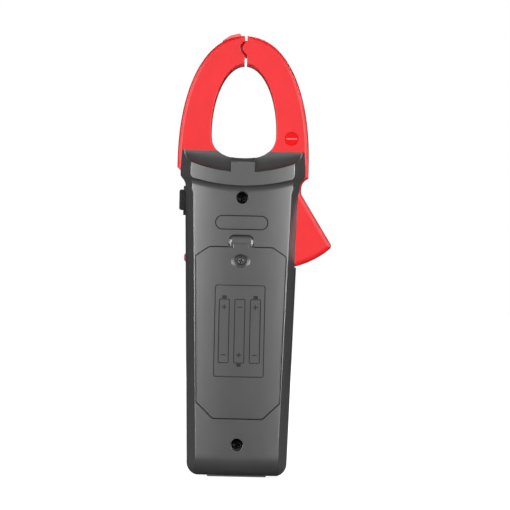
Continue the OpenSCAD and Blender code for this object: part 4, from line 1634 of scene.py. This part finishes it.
@dataclass
class FrontCase:
    """The display half of the case, with its holes, its dark panel and its dial marks."""

    form: FrontForm
    wall: float = 2.2
    panel_low: float = 37.5
    panel_high: float = 146.5
    panel_half: float = 24.5
    hub: Point = (0.0, 115.5)
    mark_r: Point = (26.1, 28.3)
    glass: tuple[float, float, float] = (45.0, 35.0, 60.0)
    keys_z: float = 84.2
    key_x: tuple[float, ...] = (-18.0, -6.0, 6.0, 18.0)
    led: Point = (14.0, 143.5)
    sockets: Point = (-9.5, 9.5)
    print_high: float = 0.06
    print_room: Point = (-24.0, -12.0)

    def inside(self) -> Piece:
        """The hollow behind the display face, with the screw posts left standing.

        Returns:
            The cutter.
        """
        layers = []
        roof = self.form.hollow_top
        for y, inset, top in ((5.0, 2.0, roof), (-8.0, 2.4, roof),
                              (self.wall - self.form.depth, 4.2, 143.0)):
            low, high = self.form.grip_low + 0.8 - inset, self.form.grip_top - inset
            corners = [(-low, inset + 0.8, 3), (low, inset + 0.8, 3), (high, top, 0), (-high, top, 0)]
            layers.append((rounded(corners), y))
        hollow = Piece.stack("hollow", layers)
        posts = [Piece.prism("post", circle((0, z), 3.4, 36), -30, -12.2) for z in self.form.wells]
        return hollow.cut(*posts)

    def face_room(self) -> list[Piece]:
        """The openings for the display, the keys, the knob's shaft and the lamp.

        Returns:
            The cutters.
        """
        face = -self.form.depth
        out = face - 3
        width, height, z = self.glass
        recess = slab_outline((0, z), width, height, 1.6)
        hole = slab_outline((0, z), width - 3, height - 3, 1.0)
        cutters = [Piece.prism("display_recess", recess, out, face + 1.25),
                   Piece.prism("display_hole", hole, out, 5),
                   Piece.prism("shaft_hole", circle(self.hub, 6.3), out, 5),
                   Piece.prism("lamp_hole", circle(self.led, 2.15, 36), out, 5)]
        cutters += [Piece.prism("key_hole", pill((x, self.keys_z), 9.4, 5.9), out, 5) for x in self.key_x]
        return cutters

    def build(self) -> Piece:
        """Moulds the display half.

        Returns:
            The case.
        """
        form = self.form
        case = form.solid("front_case_moulding")
        case.join(Piece.prism("lip", form.foot(), -8.6, 1))
        case.cut(self.inside(), form.jaw_slot(), *self.face_room())
        for x in self.sockets:
            case.cut(Piece.turned("socket_hole", [(4.7, -3), (4.7, 24)], (x, -8.5), 48, "Z"))
        case.cut(Piece.block("button_hole", (form.grip_top - 6, -4.3, 137.7), (form.grip_top + 6, 5, 152.0)),
                 Piece.turned("pin_hole", [(2.5, -10.8), (2.5, 6)], form.pivot),
                 Piece.block("parting", (-60, -form.parting, -9), (60, 9, 220)))
        return case

    def skin(self, low: float, high: float) -> Piece:
        """A thin layer that follows the display face between two heights over it.

        Args:
            low: Its lower height over the face.
            high: Its upper height.

        Returns:
            The layer.
        """
        layers = []
        for lift in (low, high):
            xs = [-29 + 2.9 * k for k in range(21)]
            layers.append([(x, self.form.crown * (x / 25) ** 2 - self.form.depth - lift) for x in xs])
        return Piece.prism("skin", layers[1] + layers[0][::-1], 0, 150, "Z")

    def panel(self) -> Piece:
        """The dark inlay round the display, the keys and the dial.

        Returns:
            The panel.
        """
        wide, narrow = self.panel_half, self.panel_half - 1.4
        outline = rounded([(-narrow, self.panel_low, 4), (narrow, self.panel_low, 4),
                           (wide, self.panel_high, 5), (-wide, self.panel_high, 5)])
        panel = Piece.prism("face_panel", outline, *self.print_room)
        panel.keep(self.skin(-0.02, 0.04))
        return panel.cut(*self.face_room())

    def marks(self) -> Piece:
        """The scale round the dial, with a longer bar at each setting.

        Returns:
            The marks.
        """
        bars = []
        for k in range(13):
            a = math.radians(15 * k)
            inner, outer = self.mark_r
            outer += 1.1 if k % 2 == 0 else 0
            c, s = math.cos(a), math.sin(a)
            wide = 0.28 if k % 2 == 0 else 0.16
            x, z = self.hub
            bar = [(x + c * r - s * v, z + s * r + c * v) for r, v in
                   ((inner, -wide), (outer, -wide), (outer, wide), (inner, wide))]
            bars.append(Piece.prism("dial_marks", bar, *self.print_room))
        width, height, z = self.glass
        outer = slab_outline((0, z), width + 3.4, height + 3.4, 2.4)
        frame = Piece.prism("window_line", outer, *self.print_room)
        frame.cut(Piece.prism("window_room", slab_outline((0, z), width + 2.6, height + 2.6, 2.1), -25, -11))
        for x in self.key_x:
            ring = Piece.prism("key_line", pill((x, self.keys_z), 10.9, 7.4), *self.print_room)
            frame.join(ring.cut(Piece.prism("key_room", pill((x, self.keys_z), 10.3, 6.8), -25, -11)))
        return bars[0].join(*bars[1:], frame).keep(self.skin(0.0, self.print_high))

    def make(self) -> None:
        """Builds the display half and dresses it."""
        self.build().finish(Finishes.FRONT_GREY.value, "case", "front_grey", "front_case", crease=38)
        self.panel().finish(Finishes.PANEL.value, "case", "front_grey")
        self.marks().finish(Finishes.PRINT_WHITE.value, "case", "front_grey")


@dataclass
class Selector:
    """The rotary knob with its grip bar and the thumb tab on its rim."""

    hub: Point = (0.0, 115.5)
    radius: float = 25.0
    grips: int = 40
    skirt_y: float = -22.8

    def rim(self, radius: float, deep: float) -> Outline:
        """The knob's rim, fluted by shallow scallops.

        Args:
            radius: The rim's radius.
            deep: Depth of the scallops.

        Returns:
            The outline.
        """
        count = self.grips * 6
        return [(self.hub[0] + (radius - deep * max(0, math.cos(2 * math.pi * k / 6)) ** 2) * math.cos(a),
                 self.hub[1] + (radius - deep * max(0, math.cos(2 * math.pi * k / 6)) ** 2) * math.sin(a))
                for k, a in ((k, 2 * math.pi * k / count) for k in range(count))]

    def make(self) -> None:
        """Builds and dresses the knob, its pointer line and its tab."""
        x, z = self.hub
        low, high = span("selector_knob")
        top, skirt = low.y, self.skirt_y
        layers = [(self.rim(self.radius - 0.5, 0), -18.45), (self.rim(self.radius, 0.35), -18.9),
                  (self.rim(self.radius, 0.35), skirt + 1.4),
                  (self.rim(self.radius - 0.4, 0.3), skirt + 0.5), (self.rim(self.radius - 1.5, 0), skirt)]
        knob = Piece.stack("knob_moulding", layers)
        profile = [(0, skirt + 1.1), (14, skirt + 1.0), (19.5, skirt + 0.3), (21, skirt - 0.4),
                   (21, skirt - 3), (0, skirt - 3)]
        knob.cut(Piece.turned("scoop", profile, self.hub, 96))
        bar = Piece.stack("bar", [(slab_outline((x, z), 13, 47, 5.6), skirt + 2.2),
                                  (slab_outline((x, z), 12.2, 46.4, 5.4), top + 1.0),
                                  (slab_outline((x, z), 11.0, 45.2, 5.0), top + 0.25),
                                  (slab_outline((x, z), 9.6, 43.8, 4.5), top)])
        knob.join(bar, Piece.turned("shaft", [(5.9, high.y), (5.9, -18.6)], self.hub))
        under = [(6.6, -18.0), (6.6, -19.6), (23.2, -19.6), (23.2, -18.0)]
        knob.cut(Piece.turned("under", under, self.hub, 96))
        knob.finish(Finishes.KNOB_BLACK.value, "selector", "black_plastic", "selector_knob", crease=30)
        pointer = slab_outline((x, z + 16.5), 1.3, 9.5, 0.5)
        line = Piece.prism("pointer_line", pointer, top - 0.03, top + 0.3)
        line.finish(Finishes.PRINT_WHITE.value, "selector", "black_plastic")
        low, high = span("selector_tab")
        outline = rounded([(21.2, z - 3.9, 0.2), (27.6, z - 3.9, 2.2), (high.x, z - 1.6, 1.4),
                           (high.x, z + 1.6, 1.4), (27.6, z + 3.9, 2.2), (21.2, z + 3.9, 0.2)])
        small = grown(outline, -0.5)
        tab = Piece.stack("tab_moulding", [(small, low.y), (outline, low.y + 0.5), (outline, high.y - 0.5),
                                           (small, high.y)])
        tab.cut(Piece.turned("knob_room", [(24.4, -30), (24.4, -10)], self.hub, 96))
        tab.finish(Finishes.SOCKET_RED.value, "selector", "pin_red", "selector_tab")


@dataclass
class Display:
    """The window over the reflective glass, with its seven-segment digits."""

    centre_z: float = 60.0
    digit: Point = (6.4, 13.5)
    bar: float = 1.25
    slant: float = 0.1
    shown: tuple[str, ...] = ("abcdef", "abcdef", "abcdef")
    first_x: float = 9.5
    pitch: float = 11.0
    ink_y: Point = (-15.78, -15.6)

    def segment(self, name: str, x: float, z: float) -> Piece:
        """One bar of a digit, with pointed ends and a slight slant.

        Args:
            name: The bar's letter.
            x: The digit's middle across.
            z: The digit's middle height.

        Returns:
            The bar.
        """
        width, height = self.digit
        bar = self.bar / 2
        places = {"a": (0, height / 2, 0), "d": (0, -height / 2, 0), "g": (0, 0, 0), "b": (1, height / 4, 1),
                  "c": (1, -height / 4, 1), "f": (-1, height / 4, 1), "e": (-1, -height / 4, 1)}
        side, dz, upright = places[name]
        reach = (height / 4 if upright else width / 2) - 0.15
        shape = [(-reach, 0), (bar - reach, -bar), (reach - bar, -bar),
                 (reach, 0), (reach - bar, bar), (bar - reach, bar)]
        if upright:
            shape = [(-v, u) for u, v in shape]
        moved = [(x - (u + side * width / 2 + self.slant * (v + dz)), z + v + dz) for u, v in shape]
        return Piece.prism("digits", moved, *self.ink_y)

    def make(self) -> None:
        """Builds the window, the glass and the digits."""
        low, high = span("lcd_window")
        z = self.centre_z
        outline = slab_outline((0, z), high.x - low.x, high.z - low.z, 1.4)
        window = Piece.stack("window_moulding", [(grown(outline, -0.35), low.y), (outline, low.y + 0.3),
                                                 (outline, high.y)])
        window.finish(Finishes.WINDOW.value, "case", "window_clear", "lcd_window")
        low, high = span("lcd_glass")
        outline = slab_outline((0, z), high.x - low.x, high.z - low.z, 0.4)
        cell = Piece.stack("glass_cell", [(grown(outline, -0.2), low.y), (outline, low.y + 0.2),
                                          (outline, high.y)])
        cell.finish(Finishes.LCD.value, "case", "lcd_grey", "lcd_glass")
        bars = []
        for place, lit in enumerate(self.shown):
            x = self.first_x - place * self.pitch
            bars += [self.segment(name, x, z + 1.5) for name in lit]
        point = slab_outline((self.first_x - 16.6, z - 5.2), 1.3, 1.3, 0.3)
        dot = Piece.prism("dot", point, *self.ink_y)
        bars[0].join(*bars[1:], dot).finish(Finishes.LCD_INK.value, "case", "lcd_grey")


@dataclass
class Keypad:
    """The four rubber keys, each on its own body."""

    names: tuple[str, ...] = ("key_select", "key_range", "key_hold", "key_zero")
    round: float = 0.7
    centre_z: float = 84.2

    def make(self) -> None:
        """Builds and dresses each key with a dished top."""
        for name in self.names:
            low, high = span(name)
            x, z = (low.x + high.x) / 2, self.centre_z
            cap = pill((x, z), 9, 5.5)
            top = low.y
            flange = pill((x, z), high.x - low.x, 7.4)
            layers = [(flange, high.y), (flange, high.y - 1.2), (cap, high.y - 1.3), (cap, top + self.round),
                      (grown(cap, -0.2), top + 0.25), (grown(cap, -0.75), top)]
            key = Piece.stack(f"{name}_cap", layers)
            hollow = pill((x, z), 6.6, 3.2)
            dish = Piece.stack("dish", [(pill((x, z), 5.2, 1.9), top + 0.22), (hollow, top - 0.05),
                                        (hollow, top - 1)])
            key.cut(dish).finish(Finishes.KEY_RUBBER.value, name, "key_rubber", name)


@dataclass
class SideButton:
    """The ribbed button at the case's side."""

    half: float = 3.9
    ends: Point = (140.7, 151.6)
    ribs: int = 5
    first_rib: float = 142.8
    rib_pitch: float = 1.7

    def make(self) -> None:
        """Builds and dresses the button, with ribs across its outer face."""
        low, high = span("side_button")
        out = high.x
        foot, top = self.ends
        plate = [(-self.half, foot, 0.8), (self.half, foot, 0.8),
                 (self.half, top, 0.8), (-self.half, top, 0.8)]
        outline = [(z, y) for y, z in rounded(plate)]
        layers = [(outline, low.x + 2), (outline, out - 0.9), (grown(outline, -0.25), out - 0.35),
                  (grown(outline, -0.8), out)]
        bm = bmesh.new()
        rings = [[bm.verts.new((level, y, z)) for z, y in ring] for ring, level in layers]
        for a, b in zip(rings, rings[1:]):
            for i in range(-1, len(a) - 1):
                bm.faces.new((a[i], a[i + 1], b[i + 1], b[i]))
        bm.faces.new(rings[0])
        bm.faces.new(rings[-1])
        button = Piece("side_button_cap", bm)
        button.join(Piece.block("step", (low.x + 2.2, -3.7, 138.1), (31.3, 3.7, 141)))
        button.join(Piece.block("flange", (low.x, low.y, low.z), (low.x + 2.4, high.y, high.z)))
        for k in range(self.ribs):
            z = self.first_rib + self.rib_pitch * k
            groove = [(out - 0.45, z), (out + 1, z - 0.9), (out + 1, z + 0.9)]
            button.cut(Piece.prism("groove", groove, -2.9, 2.9))
        button.finish(Finishes.BLACK_RUBBER.value, "side_button", "button_rubber", "side_button")


@dataclass
class StatusLed:
    """The clear lamp beside the dial, with a domed head and a flange."""

    at: Point = (14.0, 143.5)

    def make(self) -> None:
        """Turns and dresses the lamp."""
        low, high = span("status_led")
        turns = [math.radians(a) for a in range(0, 90, 15)]
        dome = [(2 * math.cos(a), low.y + 1.2 - 1.2 * math.sin(a)) for a in turns]
        profile = [(0, high.y), (2.6, high.y), (2.6, high.y - 0.9), (2, high.y - 1.0)] + dome + [(0, low.y)]
        lamp = Piece.turned("led_lens", profile, self.at, 40)
        lamp.finish(Finishes.LED.value, "case", "led_clear", "status_led")


@dataclass
class Sockets:
    """The two input sockets in the bottom end."""

    y: float = -8.5

    def make(self) -> None:
        """Turns and dresses the collars and their sleeves."""
        for word, finish, slot in (("black", Finishes.BLACK_PLASTIC, "black_plastic"),
                                   ("red", Finishes.SOCKET_RED, "pin_red")):
            low, high = span(f"socket_collar_{word}")
            x = (low.x + high.x) / 2
            inner_low, inner_high = span(f"socket_sleeve_{word}")
            wide = (high.x - low.x) / 2
            profile = [(2.75, low.z + 0.9), (3.3, low.z), (4.3, low.z), (4.6, low.z + 0.4), (4.6, 3.9),
                       (wide, 4.0), (wide, high.z), (2.75, high.z)]
            collar = self.ring(f"collar_{word}", profile, x)
            collar.finish(finish.value, "case", slot, f"socket_collar_{word}")
            profile = [(2.05, inner_low.z + 0.4), (2.3, inner_low.z), (2.7, inner_low.z),
                       (2.7, inner_high.z - 0.4), (2.4, inner_high.z), (2.05, inner_high.z)]
            sleeve = self.ring(f"sleeve_{word}", profile, x)
            sleeve.finish(Finishes.BRASS.value, "case", "brass", f"socket_sleeve_{word}")

    def ring(self, name: str, profile: Sequence[Point], x: float) -> Piece:
        """A closed profile turned round a socket's axis.

        Args:
            name: The ring's name.
            profile: Radius and height pairs round its section.
            x: Where its axis stands.

        Returns:
            The ring.
        """
        bm = bmesh.new()
        steps = 56
        rings = []
        for radius, height in profile:
            angles = [2 * math.pi * k / steps for k in range(steps)]
            rings.append([bm.verts.new((x + radius * math.cos(a), self.y + radius * math.sin(a), height))
                          for a in angles])
        for i in range(-1, len(rings) - 1):
            for k in range(-1, steps - 1):
                bm.faces.new((rings[i][k], rings[i][k + 1], rings[i + 1][k + 1], rings[i + 1][k]))
        return Piece(name, bm)


@dataclass
class Insides:
    """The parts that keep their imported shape, each with its own finish."""

    by_slot: tuple[tuple[str, Finishes], ...] = (
        ("steel", Finishes.STEEL), ("nickel", Finishes.NICKEL), ("brass", Finishes.BRASS),
        ("core_iron", Finishes.IRON), ("copper_wire", Finishes.COPPER), ("foam", Finishes.FOAM),
        ("cell_jacket", Finishes.CELL), ("black_plastic", Finishes.BLACK_PLASTIC),
        ("white_plastic", Finishes.WHITE_PLASTIC), ("strip_rubber", Finishes.STRIP),
        ("board_green", Finishes.BOARD))

    def make(self) -> None:
        """Gives every carried-over node the finish of its slot."""
        finishes = dict(self.by_slot)
        for part in frame["record"]["subparts"]:
            node = part["node"]
            kept = frame["nodes"].get(node)
            finish = finishes.get(part["material_slot"])
            if kept is None or finish is None or kept.hide_render:
                continue
            kept.data.materials.clear()
            kept.data.materials.append(finish.value.material())
            log.info("%s: kept shape, %s", node, finish.value.name)


# ---- Studio ----


@dataclass
class Studio:
    """A pale floor, soft lights and the camera behind the meter."""

    camera_away: float = 1.3
    view_width: float = 0.2693
    look_at: tuple[float, float, float] = (-0.00737, 0.012, 0.1176)
    roll: float = 0.0222
    cast: float = 0.06
    floor_grey: float = 0.14
    floor_glow: float = 0.93
    floor_fade: Point = (0.05, 0.4)

    def light(self, name: str, place: Sequence[float], size: Point, power: float, aim: Sequence[float],
              fill: bool = True, shine: bool = True) -> None:
        """Adds one soft rectangular light.

        Args:
            name: The light's name.
            place: Where it stands.
            size: Its width and height.
            power: Its power in watts.
            aim: The point that it faces.
            fill: Whether it lights surfaces evenly.
            shine: Whether it shows in gloss.
        """
        data = bpy.data.lights.new(name, "AREA")
        data.shape = "RECTANGLE"
        data.size, data.size_y = size
        data.energy = power
        lamp = bpy.data.objects.new(name, data)
        lamp.location = place
        lamp.rotation_euler = (Vector(aim) - Vector(place)).to_track_quat("-Z", "Y").to_euler()
        lamp.visible_diffuse = fill
        lamp.visible_glossy = shine
        bpy.context.scene.collection.objects.link(lamp)

    def surround(self) -> None:
        """A pale backdrop all round that lights the meter only faintly."""
        world = bpy.data.worlds.new("studio")
        bpy.context.scene.world = world
        world.use_nodes = True
        tree = world.node_tree
        tree.nodes.clear()
        seen = tree.nodes.new("ShaderNodeBackground")
        seen.inputs["Color"].default_value = (1, 1, 1, 1)
        seen.inputs["Strength"].default_value = 1.0
        cast = tree.nodes.new("ShaderNodeBackground")
        cast.inputs["Color"].default_value = (1, 1, 1, 1)
        cast.inputs["Strength"].default_value = self.cast
        path = tree.nodes.new("ShaderNodeLightPath")
        mix = tree.nodes.new("ShaderNodeMixShader")
        out = tree.nodes.new("ShaderNodeOutputWorld")
        tree.links.new(path.outputs["Is Camera Ray"], mix.inputs["Fac"])
        tree.links.new(cast.outputs["Background"], mix.inputs[1])
        tree.links.new(seen.outputs["Background"], mix.inputs[2])
        tree.links.new(mix.outputs["Shader"], out.inputs["Surface"])

    def floor(self) -> None:
        """A round pale floor that the meter stands on, pale enough to meet the backdrop unseen."""
        bm = bmesh.new()
        bmesh.ops.create_circle(bm, cap_ends=True, segments=96, radius=4.0)
        mesh = bpy.data.meshes.new("floor")
        bm.to_mesh(mesh)
        bm.free()
        floor = bpy.data.objects.new("floor", mesh)
        floor.location.z = -0.0004
        material = bpy.data.materials.new("floor_white")
        material.use_nodes = True
        tree = material.node_tree
        shader = tree.nodes["Principled BSDF"]
        shader.inputs["Base Color"].default_value = (*[self.floor_grey] * 3, 1)
        shader.inputs["Roughness"].default_value = 0.9
        glow = tree.nodes.new("ShaderNodeEmission")
        place = tree.nodes.new("ShaderNodeTexCoord")
        away = tree.nodes.new("ShaderNodeVectorMath")
        away.operation = "LENGTH"
        fade = tree.nodes.new("ShaderNodeMapRange")
        fade.inputs["From Min"].default_value, fade.inputs["From Max"].default_value = self.floor_fade
        fade.inputs["To Min"].default_value = self.floor_glow
        tree.links.new(place.outputs["Object"], away.inputs[0])
        tree.links.new(away.outputs["Value"], fade.inputs["Value"])
        tree.links.new(fade.outputs["Result"], glow.inputs["Strength"])
        path = tree.nodes.new("ShaderNodeLightPath")
        gate = tree.nodes.new("ShaderNodeMixShader")
        add = tree.nodes.new("ShaderNodeAddShader")
        out = tree.nodes["Material Output"]
        tree.links.new(shader.outputs["BSDF"], add.inputs[0])
        tree.links.new(glow.outputs["Emission"], add.inputs[1])
        tree.links.new(path.outputs["Is Camera Ray"], gate.inputs["Fac"])
        tree.links.new(shader.outputs["BSDF"], gate.inputs[1])
        tree.links.new(add.outputs["Shader"], gate.inputs[2])
        tree.links.new(gate.outputs["Shader"], out.inputs["Surface"])
        mesh.materials.append(material)
        bpy.context.scene.collection.objects.link(floor)

    def camera(self) -> None:
        """A long lens that looks square at the rear of the meter, rolled slightly."""
        data = bpy.data.cameras.new("camera")
        data.lens = data.sensor_width * self.camera_away / self.view_width
        data.clip_start, data.clip_end = 0.05, 20
        camera = bpy.data.objects.new("camera", data)
        back = Vector((0, 1, 0))
        up = Vector((self.roll, 0, 1)).normalized()
        right = up.cross(back)
        turn = Matrix((right, up, back)).transposed().to_4x4()
        camera.matrix_world = Matrix.Translation(Vector(self.look_at) + back * self.camera_away) @ turn
        bpy.context.scene.collection.objects.link(camera)
        bpy.context.scene.camera = camera

    def make(self) -> None:
        """Sets the studio up."""
        middle = (0, 0, 0.13)
        self.surround()
        self.floor()
        self.light("rear_fill", (0, 1.25, 0.38), (0.8, 0.5), 17, (0, 0, 0.17), shine=False)
        self.light("display_fill", (0.1, -1.2, 0.6), (0.8, 0.6), 22, middle, shine=False)
        self.light("display_gloss", (-0.3, -0.9, 1.1), (0.5, 0.4), 6, middle)
        for name, side in (("left", 1), ("right", -1)):
            self.light(f"{name}_strip", (side * 0.62, 1.15, 0.34), (0.15, 0.6), 22, middle, fill=False)
            self.light(f"{name}_card", (side * 0.85, 0.28, 0.25), (0.1, 1.0), 22, middle, fill=False)
        self.camera()
        bpy.context.scene.view_settings.view_transform = "Standard"


def main() -> None:
    """Builds every sub-assembly in order and sets the studio up."""
    logging.basicConfig(level=logging.INFO, format="%(message)s")
    door = DoorPlan()
    rear = RearForm(Half.REAR)
    RearCase(door, rear).make()
    FrontCase(FrontForm(Half.FRONT)).make()
    BatteryDoor(door, rear).make()
    Screws(door, rear).make()
    Jaws(JawPlan()).make()
    Selector().make()
    Display().make()
    Keypad().make()
    SideButton().make()
    StatusLed().make()
    Sockets().make()
    Insides().make()
    Studio().make()
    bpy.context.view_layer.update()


if __name__ == "__main__":
    main()
